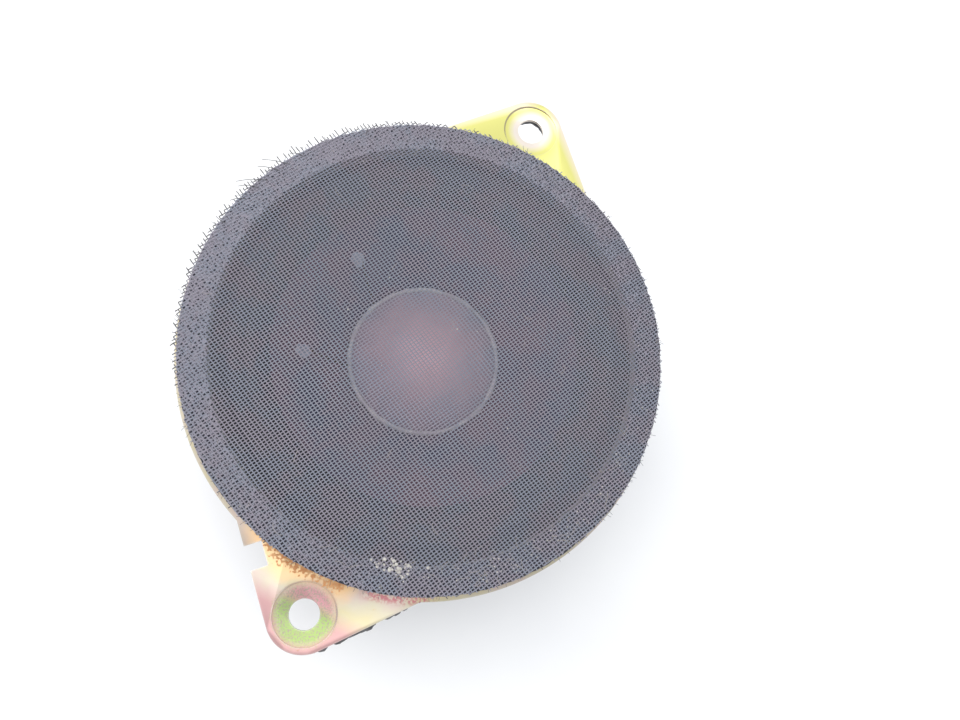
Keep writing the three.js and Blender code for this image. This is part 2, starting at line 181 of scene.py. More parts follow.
def cut_plate(name: str, outline: Sequence[Pair], bottom: float, top: float) -> Piece:
    """Cuts a flat plate to an outline.

    Args:
        name: The new piece's name.
        outline: X and Y of each corner in millimetres.
        bottom: Height of the lower face in millimetres.
        top: Height of the upper face in millimetres.

    Returns:
        The plate.
    """
    piece = trace(name, [(mm(x), mm(y), mm(bottom)) for x, y in outline])
    with editing(piece):
        bpy.ops.mesh.edge_face_add()
        lift = {"value": (0, 0, mm(top - bottom))}
        bpy.ops.mesh.extrude_region_move(TRANSFORM_OT_translate=lift)
        bpy.ops.mesh.select_all(action="SELECT")
        bpy.ops.mesh.normals_make_consistent(inside=False)
    return piece


def rod(name: str, at: Pair, radius: float, bottom: float, top: float, sides: int = 48) -> Piece:
    """Stands a round bar between two heights, all in millimetres.

    Args:
        name: The new piece's name.
        at: X and Y of its axis.
        radius: Its radius.
        bottom: Its lower end.
        top: Its upper end.
        sides: How many facets go round.

    Returns:
        The bar.
    """
    deselect()
    bpy.ops.mesh.primitive_cylinder_add(
        vertices=sides, radius=mm(radius), depth=mm(top - bottom),
        location=(mm(at[0]), mm(at[1]), mm(bottom + top) / 2),
    )
    bpy.ops.object.transform_apply(location=True, rotation=True, scale=True)
    return named(name)


def block(name: str, centre: Point, size: Point, turn: float = 0.0) -> Piece:
    """Places a cuboid, in millimetres, turned about Z by an angle in radians.

    Args:
        name: The new piece's name.
        centre: Its middle.
        size: Its length along each axis.
        turn: The angle.

    Returns:
        The cuboid.
    """
    deselect()
    bpy.ops.mesh.primitive_cube_add(size=1, location=[mm(c) for c in centre], rotation=(0, 0, turn))
    bpy.ops.transform.resize(value=[mm(s) for s in size], orient_type="LOCAL")
    bpy.ops.object.transform_apply(location=True, rotation=True, scale=True)
    return named(name)


def modify(piece: Piece, kind: str, **settings: object) -> None:
    """Adds a modifier with the given settings and applies it.

    Args:
        piece: The piece to change.
        kind: The modifier's type.
        **settings: Its settings by name.
    """
    choose(piece)
    modifier = piece.modifiers.new(kind.title(), kind)
    for key, value in settings.items():
        setattr(modifier, key, value)
    bpy.ops.object.modifier_apply(modifier=modifier.name)


def carve(piece: Piece, tool: Piece, operation: str = "DIFFERENCE") -> None:
    """Cuts the tool out of the piece, or joins it on with UNION, and uses the tool up."""
    modify(piece, "BOOLEAN", object=tool, operation=operation, solver="EXACT")
    bpy.data.objects.remove(tool)


def soften(piece: Piece, width: float, segments: int = 2, angle: float = 35.0) -> None:
    """Rounds the edges that are sharper than an angle, then shades the piece smooth between them.

    Args:
        piece: The piece to finish.
        width: Width of each rounded edge in millimetres, or 0 to leave the edges as they are.
        segments: How many facets make up a rounded edge.
        angle: The angle in degrees.
    """
    if width:
        modify(piece, "BEVEL", width=mm(width), segments=segments, limit_method="ANGLE",
               angle_limit=math.radians(angle), harden_normals=False)
    choose(piece)
    bpy.ops.object.shade_smooth_by_angle(angle=math.radians(angle))


def join(name: str, pieces: Sequence[Piece]) -> Piece:
    """Joins pieces into one object and names it."""
    choose(*pieces)
    bpy.ops.object.join()
    return named(name)


def wires(name: str, runs: Sequence[Sequence[Point]], radius: float, sides: int = 12, steps: int = 6) -> Piece:
    """Runs a round wire smoothly through each run of points, with closed ends.

    Args:
        name: The new piece's name.
        runs: The points of each wire, in millimetres.
        radius: Half the thickness of the wires in millimetres.
        sides: How many facets go round, a multiple of four.
        steps: How many facets lie between two points.

    Returns:
        The wires, as one mesh.
    """
    curve = bpy.data.curves.new(name, "CURVE")
    curve.dimensions = "3D"
    curve.bevel_depth = mm(radius)
    curve.bevel_resolution = sides // 4 - 1
    curve.use_fill_caps = True
    curve.resolution_u = steps
    for run in runs:
        spline = curve.splines.new("NURBS")
        spline.points.add(len(run) - 1)
        for place, point in zip(spline.points, run):
            place.co = (mm(point[0]), mm(point[1]), mm(point[2]), 1)
        spline.order_u = min(4, len(run))
        spline.use_endpoint_u = True
    piece = bpy.data.objects.new(name, curve)
    bpy.context.collection.objects.link(piece)
    choose(piece)
    bpy.ops.object.convert(target="MESH")
    piece = named(name)
    bpy.ops.object.shade_smooth_by_angle(angle=math.radians(50))
    return piece


def push(piece: Piece, by: Callable[[Vector, Vector], float]) -> None:
    """Moves each vertex along its normal.

    Args:
        piece: The piece to change.
        by: Gives the distance in metres for a place and its normal.
    """
    normals = [vertex.normal.copy() for vertex in piece.data.vertices]
    for vertex, normal in zip(piece.data.vertices, normals):
        vertex.co += normal * by(vertex.co, normal)
    piece.data.update()


def roughen(piece: Piece, strength: float, grain: float, keep: Callable[[Vector], float] | None = None) -> None:
    """Moves each vertex along its normal by smooth noise.

    Args:
        piece: The piece, dense enough for the grain.
        strength: The most that a vertex moves, in millimetres.
        grain: Size of the noise's features, in millimetres.
        keep: Gives the share of the movement for a place, or None for all of it everywhere.
    """

    def moved(place: Vector, _: Vector) -> float:
        """Returns how far the noise pushes a place."""
        return mm(strength) * (keep(place) if keep else 1.0) * noise.noise(place / mm(grain))

    push(piece, moved)


def lay(piece: Piece, *materials: Material) -> Piece:
    """Gives a piece its materials, in place of any it has."""
    piece.data.materials.clear()
    for material in materials:
        piece.data.materials.append(material)
    return piece


def settle(piece: Piece) -> None:
    """Puts a piece's place, turn and size into its mesh."""
    choose(piece)
    bpy.ops.object.transform_apply(location=True, rotation=True, scale=True)


def flowing(points: Sequence[Point], count: int) -> list[Point]:
    """Returns places along a smooth curve through the given points.

    Args:
        points: The points that it passes through.
        count: How many places to return.

    Returns:
        The places, in order along the curve.
    """
    ends = [2 * np.array(points[0]) - points[1], *map(np.array, points), 2 * np.array(points[-1]) - points[-2]]
    made = []
    for share in np.linspace(0, len(points) - 1.0001, count):
        i, t = int(share), share % 1
        a, b, c, d = ends[i : i + 4]
        cubic = (3 * b - a - 3 * c + d) * t**3
        made.append(tuple(0.5 * (2 * b + (c - a) * t + (2 * a - 5 * b + 4 * c - d) * t**2 + cubic)))
    return made


def arc(centre: Pair, radius: float, start: float, end: float, steps: int) -> list[Pair]:
    """Returns points along an arc, with its angles in degrees."""
    angles = np.radians(np.linspace(start, end, steps + 1))
    return [(centre[0] + radius * math.cos(a), centre[1] + radius * math.sin(a)) for a in angles]


def rounded(line: Sequence[Pair], radius: float, steps: int = 5) -> list[Pair]:
    """Rounds the inner corners of a line of points.

    Args:
        line: The line's corners.
        radius: The bend radius, made smaller where a corner has no room for it.
        steps: How many facets make up a bend.

    Returns:
        The line with a short arc in place of each inner corner.
    """
    made = [line[0]]
    for before, corner, after in zip(line, line[1:], line[2:]):
        here = Vector(corner)
        back, ahead = Vector(before) - here, Vector(after) - here
        half = back.angle(ahead) / 2
        reach = min(radius / math.tan(half), back.length * 0.49, ahead.length * 0.49)
        first, last = here + back.normalized() * reach, here + ahead.normalized() * reach
        for i in range(steps + 1):
            share = i / steps
            made.append(tuple(first * (1 - share) ** 2 + here * (2 * share * (1 - share)) + last * share**2))
    return [*made, line[-1]]


def sheet_section(line: Sequence[Pair], thickness: float) -> list[Pair]:
    """Gives a line of points a thickness, and returns the closed outline.

    Args:
        line: Points along the middle of the sheet.
        thickness: Its thickness.

    Returns:
        The corners of the outline.
    """
    lower, upper = [], []
    for i, point in enumerate(line):
        before, after = line[max(i - 1, 0)], line[min(i + 1, len(line) - 1)]
        along = (Vector(after) - Vector(before)).normalized()
        side = Vector((-along.y, along.x)) * (thickness / 2)
        upper.append(tuple(Vector(point) + side))
        lower.append(tuple(Vector(point) - side))
    return lower + upper[::-1]


def report(piece: Piece) -> None:
    """Logs that a piece is finished."""
    LOG.info("%s: %d faces", piece.name, len(piece.data.polygons))


def hand_over(piece: Piece, body: Body, slot: str, *nodes: str) -> Piece:
    """Puts a finished piece on its body and hides the frame's nodes that it stands for.

    Args:
        piece: The finished piece.
        body: The body it moves with.
        slot: The record's material slot; not used.
        nodes: The frame's nodes that the piece replaces, if any.

    Returns:
        The piece.
    """
    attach(piece, body.value)
    if nodes:
        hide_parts(*nodes)
    report(piece)
    return piece


def hang_between(piece: Piece, node: str) -> None:
    """Puts a round suspension in place of the frame's node, with its place put into its mesh.

    Args:
        piece: A piece turned about the Z axis.
        node: The frame's node that it replaces.
    """
    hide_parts(node)
    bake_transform(piece)
    report(piece)


# ---- Shader effects that several finishes share -----------------------------------------------


class Wiring:
    """Places and links the nodes of a material or of a node group."""

    def __init__(self, tree: bpy.types.NodeTree) -> None:
        """Takes the tree to work in."""
        self.tree = tree

    def feed(self, socket: Socket, value: object) -> None:
        """Links a socket to an input, or sets the input's plain value."""
        if isinstance(value, Socket):
            self.tree.links.new(value, socket)
        elif socket.type == "RGBA" and len(value) == 3:
            socket.default_value = (*value, 1.0)
        else:
            socket.default_value = value

    def add(self, kind: str, inputs: dict[str | int, object], **settings: object) -> bpy.types.Node:
        """Adds a node.

        Args:
            kind: The node's type, without its ShaderNode prefix.
            inputs: A socket or a plain value for each input, by name or place.
            **settings: The node's own settings.

        Returns:
            The node.
        """
        node = self.tree.nodes.new("ShaderNode" + kind)
        for key, value in settings.items():
            setattr(node, key, value)
        for key, value in inputs.items():
            self.feed(node.inputs[key], value)
        return node

    def maths(self, operation: str, first: object, second: object = 0.0) -> Socket:
        """Works out one sum and returns its result."""
        return self.add("Math", {0: first, 1: second}, operation=operation).outputs[0]

    def times(self, first: object, second: object) -> Socket:
        """Multiplies two values."""
        return self.maths("MULTIPLY", first, second)

    def plus(self, first: object, second: object) -> Socket:
        """Adds two values."""
        return self.maths("ADD", first, second)

    def noise(self, vector: Socket, size: object, detail: float = 3.0) -> Socket:
        """Returns smooth noise whose features are a size in millimetres across."""
        scale = self.maths("DIVIDE", PER_METRE, size)
        return self.add("TexNoise", {"Vector": vector, "Scale": scale, "Detail": detail}).outputs["Fac"]

    def spread(self, value: object, low: object, high: object) -> Socket:
        """Maps a value from low to high onto 0 to 1, and clamps it."""
        return self.add("MapRange", {"Value": value, "From Min": low, "From Max": high}).outputs[0]

    def blend(self, share: object, first: object, second: object) -> Socket:
        """Mixes two colours by a share."""
        node = self.add("Mix", {}, data_type="RGBA")
        self.feed(node.inputs[0], share)
        self.feed(node.inputs[6], first)
        self.feed(node.inputs[7], second)
        return node.outputs[2]

    def ramp(self, share: object, stops: Sequence[tuple[float, Colour]]) -> Socket:
        """Reads a colour off a ramp."""
        node = self.add("ValToRGB", {"Fac": share})
        elements = node.color_ramp.elements
        while len(elements) < len(stops):
            elements.new(1.0)
        for element, (place, colour) in zip(elements, stops):
            element.position = place
            element.color = (*colour, 1.0)
        return node.outputs["Color"]


def group(
    name: str, inputs: dict[str, tuple[str, object]], outputs: dict[str, str]
) -> tuple[Wiring, dict, dict]:
    """Starts a shader node group with named inputs and outputs.

    Args:
        name: The group's name.
        inputs: Each input's socket type and default.
        outputs: Each output's socket type.

    Returns:
        The group's wiring, its input sockets and its output sockets, by name.
    """
    tree = bpy.data.node_groups.new(name, "ShaderNodeTree")
    for key, (kind, value) in inputs.items():
        socket = tree.interface.new_socket(key, in_out="INPUT", socket_type="NodeSocket" + kind)
        if value is not None:
            socket.default_value = (*value, 1.0) if kind == "Color" else value
    for key, kind in outputs.items():
        tree.interface.new_socket(key, in_out="OUTPUT", socket_type="NodeSocket" + kind)
    entry, leave = tree.nodes.new("NodeGroupInput"), tree.nodes.new("NodeGroupOutput")
    return Wiring(tree), {k: entry.outputs[k] for k in inputs}, {k: leave.inputs[k] for k in outputs}


def make_mottle() -> bpy.types.NodeTree:
    """Builds the group that varies a colour in soft patches."""
    work, given, made = group(
        "mottle",
        {"Vector": ("Vector", None), "Size": ("Float", 5.0), "Low": ("Float", 0.35), "High": ("Float", 0.65),
         "First": ("Color", (0.5, 0.5, 0.5)), "Second": ("Color", (0.4, 0.4, 0.4))},
        {"Colour": "Color", "Mask": "Float"},
    )
    mask = work.spread(work.noise(given["Vector"], given["Size"], 5.0), given["Low"], given["High"])
    work.feed(made["Mask"], mask)
    work.feed(made["Colour"], work.blend(mask, given["First"], given["Second"]))
    return work.tree


def make_grain() -> bpy.types.NodeTree:
    """Builds the group that gives a rough surface its height, from a coarse and a fine grain."""
    work, given, made = group(
        "grain",
        {"Vector": ("Vector", None), "Coarse": ("Float", 2.0), "Fine": ("Float", 0.3), "Fine Share": ("Float", 0.5)},
        {"Height": "Float"},
    )
    coarse = work.noise(given["Vector"], given["Coarse"], 2.0)
    fine = work.noise(given["Vector"], given["Fine"], 4.0)
    mixed = work.add("Mix", {"Factor": given["Fine Share"], "A": coarse, "B": fine}, data_type="FLOAT")
    work.feed(made["Height"], mixed.outputs[0])
    return work.tree


def make_dirt_shade_and_wear() -> bpy.types.NodeTree:
    """Builds the group that darkens the corners towards a dirt colour by ambient occlusion, which is painted shade as
    well as dirt, and rubs the edges bright.
    """
    work, given, made = group(
        "dirt_shade_and_wear",
        {"Colour": ("Color", (0.5, 0.5, 0.5)), "Dirt And Shade": ("Color", (0.05, 0.04, 0.03)), "Dirt And Shade Amount": ("Float", 0.5),
         "Bare": ("Color", (0.6, 0.6, 0.6)), "Wear Amount": ("Float", 0.0)},
        {"Colour": "Color"},
    )
    corner = work.add("AmbientOcclusion", {"Distance": mm(CORNER_REACH)}, samples=OCCLUSION_SAMPLES).outputs["AO"]
    edge = work.add("AmbientOcclusion", {"Distance": mm(EDGE_REACH)}, samples=OCCLUSION_SAMPLES,
                    inside=True).outputs["AO"]
    # Painted shade: ambient occlusion darkens the corners towards the dirt colour, and the edge wear below is real
    # wear.
    shaded = work.times(work.spread(corner, 0.95, 0.35), given["Dirt And Shade Amount"])
    worn = work.times(work.spread(edge, 0.75, 0.45), given["Wear Amount"])
    soiled_and_shaded = work.blend(shaded, given["Colour"], given["Dirt And Shade"])
    work.feed(made["Colour"], work.blend(worn, soiled_and_shaded, given["Bare"]))
    return work.tree


def make_weave() -> bpy.types.NodeTree:
    """Builds the group that gives a fine plain weave its height, threads along X and Y."""
    work, given, made = group("weave", {"Vector": ("Vector", None), "Pitch": ("Float", 0.5)}, {"Height": "Float"})
    parts = work.add("SeparateXYZ", {0: given["Vector"]}).outputs
    rate = work.maths("DIVIDE", PER_METRE * math.pi, given["Pitch"])
    across = work.maths("SINE", work.times(parts[0], rate))
    along = work.maths("SINE", work.times(parts[1], rate))
    crossing = work.times(across, along)
    bars = work.maths("MAXIMUM", work.maths("ABSOLUTE", across), work.maths("ABSOLUTE", along))
    work.feed(made["Height"], work.plus(work.times(crossing, 0.35), bars))
    return work.tree


def make_plating() -> bpy.types.NodeTree:
    """Builds the group that gives chromate passivation its drifting yellow, pink and green."""
    work, given, made = group("plating", {"Vector": ("Vector", None), "Size": ("Float", 18.0)}, {"Colour": "Color"})
    share = work.spread(work.noise(given["Vector"], given["Size"], 4.0), 0.25, 0.75)
    cream, yellow = (0.50, 0.455, 0.35), (0.50, 0.445, 0.28)
    pink, green = (0.51, 0.42, 0.37), (0.43, 0.44, 0.31)
    stops = [(0.0, cream), (0.3, yellow), (0.5, cream), (0.66, pink), (0.82, cream), (1.0, green)]
    work.feed(made["Colour"], work.ramp(share, stops))
    return work.tree


class Effects:
    """The shared node groups, each built once."""

    mottle: bpy.types.NodeTree
    grain: bpy.types.NodeTree
    dirt_shade_and_wear: bpy.types.NodeTree
    weave: bpy.types.NodeTree
    plating: bpy.types.NodeTree

    @classmethod
    def build(cls) -> None:
        """Builds every group."""
        cls.mottle = make_mottle()
        cls.grain = make_grain()
        cls.dirt_shade_and_wear = make_dirt_shade_and_wear()
        cls.weave = make_weave()
        cls.plating = make_plating()


# ---- Finishes ---------------------------------------------------------------------------------


class Coat(Wiring):
    """A material under construction, with its Principled shader and the piece's own coordinates."""

    def __init__(self, name: str) -> None:
        """Starts a material with that name."""
        self.material = bpy.data.materials.new(name)
        self.material.use_nodes = True
        super().__init__(self.material.node_tree)
        self.shader = next(n for n in self.tree.nodes if n.type == "BSDF_PRINCIPLED")
        self.place = self.add("TexCoord", {}).outputs["Object"]

    def effect(self, tree: bpy.types.NodeTree, inputs: dict[str, object]) -> bpy.types.Node:
        """Places one of the shared effects."""
        node = self.add("Group", {}, node_tree=tree)
        for key, value in inputs.items():
            self.feed(node.inputs[key], value)
        return node

    def set(self, **values: object) -> None:
        """Feeds the shader's own inputs, whose names have underscores for spaces."""
        for key, value in values.items():
            self.feed(self.shader.inputs[key.replace("_", " ")], value)

    def bump(self, height: Socket, depth: float) -> None:
        """Raises the surface by a height pattern, to a depth in millimetres."""
        node = self.add("Bump", {"Height": height, "Distance": mm(depth), "Strength": 1.0})
        self.set(Normal=node.outputs["Normal"])

    def radius(self, centre: Pair = (0.0, 0.0)) -> Socket:
        """Returns the distance in millimetres from an upright line, given by X and Y in millimetres."""
        shifted = self.add("VectorMath", {0: self.place, 1: (mm(centre[0]), mm(centre[1]), 0)}, operation="SUBTRACT")
        flat = self.add("VectorMath", {0: shifted.outputs[0], 1: (PER_METRE, PER_METRE, 0)}, operation="MULTIPLY")
        return self.add("VectorMath", {0: flat.outputs[0]}, operation="LENGTH").outputs["Value"]

    def axes(self) -> tuple[Socket, Socket, Socket]:
        """Returns X, Y and Z in millimetres."""
        scaled = self.add("VectorMath", {0: self.place, "Scale": PER_METRE}, operation="SCALE")
        return tuple(self.add("SeparateXYZ", {0: scaled.outputs[0]}).outputs)


@dataclass(frozen=True)
class Finish:
    """A plain finish: two colours in soft patches, with grain, dirt and painted shade in the corners, and worn edges.

    Sizes are in millimetres. Roughness runs from its first value to its second across the patches.
    """

    name: str
    first: Colour
    second: Colour
    patch: float = 6.0
    roughness: Pair = (0.5, 0.6)
    metallic: float = 0.0
    coarse: float = 2.0
    fine: float = 0.3
    depth: float = 0.02
    fine_share: float = 0.5
    # Colour and strength of the corner darkening: dirt and painted shade.
    dirt_and_shade: Colour = (0.04, 0.035, 0.03)
    dirt_and_shade_amount: float = 0.4
    bare: Colour = (0.6, 0.6, 0.6)
    wear_amount: float = 0.0
    sheen: float = 0.0
    coat: float = 0.0

    def material(self) -> Material:
        """Builds the finish's material."""
        coat = Coat(self.name)
        patches = coat.effect(Effects.mottle, {"Vector": coat.place, "Size": self.patch, "First": self.first,
                                               "Second": self.second})
        # Dirt and painted shade: the corners darken by ambient occlusion.
        soiled_and_shaded = coat.effect(Effects.dirt_shade_and_wear, {"Colour": patches.outputs["Colour"], "Dirt And Shade": self.dirt_and_shade,
                                             "Dirt And Shade Amount": self.dirt_and_shade_amount, "Bare": self.bare,
                                             "Wear Amount": self.wear_amount})
        low, high = self.roughness
        rough = coat.add("MapRange", {"Value": patches.outputs["Mask"], "To Min": low, "To Max": high}).outputs[0]
        grain = coat.effect(Effects.grain, {"Vector": coat.place, "Coarse": self.coarse, "Fine": self.fine,
                                            "Fine Share": self.fine_share})
        coat.set(Base_Color=soiled_and_shaded.outputs["Colour"], Roughness=rough, Metallic=self.metallic,
                 Sheen_Weight=self.sheen, Coat_Weight=self.coat)
        coat.bump(grain.outputs["Height"], self.depth)
        return coat.material


@dataclass(frozen=True)
class YellowZinc:
    """Yellow chromate on zinc plate, rusting along the front ring, with coloured halos round the screw holes.

    Places are in millimetres. Each spread is written from where an effect starts to where it is full.
    """

    name: str
    hole_offset: float
    pad_radius: float
    flange_radius: float
    halo_green: Colour = (0.235, 0.36, 0.09)
    halo_rose: Colour = (0.44, 0.19, 0.22)
    etched: Colour = (0.24, 0.21, 0.16)
    rosy_rim: Colour = (0.46, 0.255, 0.26)
    flecks: Colour = (0.42, 0.11, 0.15)
    gold: Colour = (0.77, 0.74, 0.24)
    pale_edge: Colour = (0.95, 0.82, 0.74)
    pale_pad: Colour = (0.86, 0.76, 0.74)
    # Painted shadow along one side of each pad's step.
    step_shade: Colour = (0.16, 0.10, 0.11)
    stain_colour: Colour = (0.72, 0.46, 0.22)
    # Dirt and painted shade in the corners, by ambient occlusion.
    corner_dirt_and_shade: Colour = (0.30, 0.18, 0.09)
    bare: Colour = (0.75, 0.75, 0.72)
    rust: tuple[Colour, Colour] = ((0.58, 0.25, 0.10), (0.70, 0.38, 0.17))
    step_shade_facing: Pair = (math.radians(-12), math.radians(54))
    metallic: float = 0.6
    relief: float = 0.03

    def notched_pad(self, coat: Coat, colour: Socket) -> Socket:
        """Tints the notched ear: green round its hole, rose towards the cloth, flecked beside it.

        Args:
            coat: The material.
            colour: The plating's colour so far.

        Returns:
            The colour with those tints.
        """
        x, y, _ = coat.axes()
        reach = coat.plus(coat.radius((-self.hole_offset, 0)), coat.times(coat.noise(coat.place, 2.5), 1.2))
        speckle = coat.times(coat.noise(coat.place, 0.3, 3.0), 1.6)
        outside = coat.times(coat.spread(reach, 4.9, 5.9), coat.spread(x, -48.5, -51.5))
        rosy = coat.blend(coat.times(outside, 0.9), colour, self.rosy_rim)
        rim = coat.spread(coat.radius(), self.flange_radius + 0.9, self.flange_radius - 0.1)
        beside = coat.times(rim, coat.times(coat.spread(y, -6.5, -9.5), coat.spread(y, -20.0, -18.0)))
        scatter = coat.spread(coat.noise(coat.place, 0.45, 3.0), 0.42, 0.56)
        flecked = coat.times(coat.times(beside, coat.spread(x, -20.0, -25.0)), scatter)
        rosy = coat.blend(coat.times(flecked, 0.85), rosy, self.flecks)
        wavy = coat.plus(x, coat.noise(coat.place, 2.0))
        lean = coat.spread(wavy, 1.1 - self.hole_offset, 2.9 - self.hole_offset)
        tint = coat.blend(lean, self.halo_green, self.halo_rose)
        strength = coat.spread(coat.plus(reach, speckle), self.pad_radius + 1.9, self.pad_radius + 0.3)
        grainy = coat.blend(coat.spread(coat.noise(coat.place, 0.28, 2.0), 0.48, 0.62), tint, self.etched)
        return coat.blend(coat.times(strength, 0.85), rosy, grainy)

    def shaded_step(self, coat: Coat, colour: Socket, centre: float, facing: float) -> Socket:
        """Paints shade on the step round a pad, on one side only, as the step's shadow.

        Args:
            coat: The material.
            colour: The plating's colour so far.
            centre: X of the pad's middle in millimetres.
            facing: The angle that the shaded side faces, in radians.

        Returns:
            The colour with the painted shadow line.
        """
        x, y, _ = coat.axes()
        off = coat.maths("ABSOLUTE", coat.maths("SUBTRACT", coat.radius((centre, 0)), self.pad_radius + 0.05))
        along = coat.times(coat.maths("SUBTRACT", x, centre), math.cos(facing))
        ahead = coat.plus(along, coat.times(y, math.sin(facing)))
        # Painted shadow: a thin dark line on the step, on one side only.
        line = coat.times(coat.spread(off, 0.2, 0.05), coat.spread(ahead, 0.0, 2.5))
        return coat.blend(coat.times(line, 0.8), colour, self.step_shade)

    def plain_pad(self, coat: Coat, colour: Socket) -> Socket:
        """Turns the other ear clear yellow, with a nearly white pad and pale edges.

        Args:
            coat: The material.
            colour: The plating's colour so far.

        Returns:
            The colour with the plain ear's own.
        """
        x, y, _ = coat.axes()
        yellow = coat.blend(coat.spread(x, 36.0, 41.0), colour, self.gold)
        edge = coat.spread(coat.plus(coat.maths("ABSOLUTE", y), x), 57.3, 60.0)
        pale = coat.blend(coat.times(edge, 0.85), yellow, self.pale_edge)
        pad = coat.spread(coat.radius((self.hole_offset, 0)), self.pad_radius - 0.6, self.pad_radius - 2.0)
        return coat.blend(coat.times(pad, 0.85), pale, self.pale_pad)

    def stain(self, coat: Coat) -> tuple[Socket, Socket]:
        """Finds where rust has stained the notched ear beside the ring, and where it has broken through.

        Args:
            coat: The material.

        Returns:
            The stain's mask and the rust spots' mask.
        """
        x, y, _ = coat.axes()
        near = coat.spread(coat.radius(), self.flange_radius + 4.6, self.flange_radius - 0.5)
        side = coat.times(coat.spread(y, -7.5, -3.5), coat.spread(y, 17.0, 11.0))
        band = coat.times(coat.times(near, side), coat.spread(x, -34.0, -38.0))
        field = coat.spread(coat.plus(band, coat.times(coat.noise(coat.place, 3.0, 4.0), 0.6)), 0.45, 1.0)
        close = coat.times(coat.spread(coat.radius(), self.flange_radius + 4.4, self.flange_radius + 0.2), band)
        clumps = coat.plus(coat.times(close, 0.5), coat.times(coat.noise(coat.place, 2.2), 0.5))
        ragged = coat.plus(clumps, coat.times(coat.noise(coat.place, 0.55, 2.0), 0.9))
        spots = coat.spread(ragged, 1.12, 1.19)
        pins = coat.spread(coat.noise(coat.place, 1.0, 2.0), 0.74, 0.765)
        off_pad = coat.spread(coat.radius((-self.hole_offset, 0)), self.pad_radius - 1.2, self.pad_radius + 1.0)
        return coat.times(field, off_pad), coat.maths("MAXIMUM", spots, coat.times(pins, 0.5))

    def material(self) -> Material:
        """Builds the finish's material."""
        coat = Coat(self.name)
        drift = coat.effect(Effects.plating, {"Vector": coat.place, "Size": 13.0}).outputs["Colour"]
        tinted = self.plain_pad(coat, self.notched_pad(coat, drift))
        # Painted shadow on one side of each pad's step.
        for side, facing in zip((-1, 1), self.step_shade_facing):
            tinted = self.shaded_step(coat, tinted, side * self.hole_offset, facing)
        field, spots = self.stain(coat)
        stained = coat.blend(coat.times(field, 0.8), tinted, self.stain_colour)
        # The corners darken by ambient occlusion, which gives dirt and painted shade; the edges rub bright as wear.
        soiled_and_shaded = coat.effect(Effects.dirt_shade_and_wear, {"Colour": stained, "Dirt And Shade": self.corner_dirt_and_shade, "Dirt And Shade Amount": 0.35,
                                             "Bare": self.bare, "Wear Amount": 0.6})
        oxide = coat.effect(Effects.mottle, {"Vector": coat.place, "Size": 0.8, "First": self.rust[0],
                                             "Second": self.rust[1]}).outputs["Colour"]
        grain = coat.effect(Effects.grain, {"Vector": coat.place, "Coarse": 3.0, "Fine": 0.25, "Fine Share": 0.3})
        matt = coat.add("MapRange", {"Value": spots, "To Min": 0.38, "To Max": 0.85}).outputs[0]
        coat.set(Base_Color=coat.blend(spots, soiled_and_shaded.outputs["Colour"], oxide), Roughness=matt,
                 Metallic=coat.times(coat.maths("SUBTRACT", 1.0, spots), self.metallic))
        coat.bump(coat.plus(grain.outputs["Height"], coat.times(spots, 0.8)), self.relief)
        return coat.material


@dataclass(frozen=True)
class TurnedSteel:
    """Plated steel that was faced on a lathe, so fine rings run round its axis."""

    name: str
    colour: Colour
    ring_pitch: float = 0.35

    def material(self) -> Material:
        """Builds the finish's material."""
        coat = Coat(self.name)
        patches = coat.effect(Effects.mottle, {"Vector": coat.place, "Size": 9.0, "First": self.colour,
                                               "Second": tuple(c * 0.78 for c in self.colour)})
        # The corners darken by ambient occlusion, which gives dirt and painted shade.
        soiled_and_shaded = coat.effect(Effects.dirt_shade_and_wear, {"Colour": patches.outputs["Colour"], "Dirt And Shade": (0.07, 0.06, 0.05),
                                             "Dirt And Shade Amount": 0.6, "Bare": (0.8, 0.8, 0.78), "Wear Amount": 0.5})
        rings = coat.maths("SINE", coat.times(coat.radius(), math.tau / self.ring_pitch))
        grain = coat.effect(Effects.grain, {"Vector": coat.place, "Coarse": 2.5, "Fine": 0.2, "Fine Share": 0.4})
        height = coat.plus(grain.outputs["Height"], coat.times(rings, 0.12))
        rough = coat.add("MapRange", {"Value": patches.outputs["Mask"], "To Min": 0.3, "To Max": 0.46}).outputs[0]
        coat.set(Base_Color=soiled_and_shaded.outputs["Colour"], Roughness=rough, Metallic=0.9)
        coat.bump(height, 0.02)
        return coat.material


@dataclass(frozen=True)
class WovenCoat:
    """A coated cloth with a fine weave that shows in its relief and its colour."""

    name: str
    thread: Colour
    gap: Colour
    pitch: float
    roughness: float
    depth: float = 0.05
    sheen: float = 0.2

    def material(self) -> Material:
        """Builds the finish's material."""
        coat = Coat(self.name)
        weave = coat.effect(Effects.weave, {"Vector": coat.place, "Pitch": self.pitch}).outputs["Height"]
        patches = coat.effect(Effects.mottle, {"Vector": coat.place, "Size": 7.0, "First": self.thread,
                                               "Second": tuple(c * 0.75 for c in self.thread)})
        colour = coat.blend(coat.spread(weave, 0.95, 0.45), patches.outputs["Colour"], self.gap)
        # The corners darken by ambient occlusion, which gives dirt and painted shade.
        soiled_and_shaded = coat.effect(Effects.dirt_shade_and_wear, {"Colour": colour, "Dirt And Shade Amount": 0.4})
        coat.set(Base_Color=soiled_and_shaded.outputs["Colour"], Roughness=self.roughness, Sheen_Weight=self.sheen)
        coat.bump(weave, self.depth)
        return coat.material


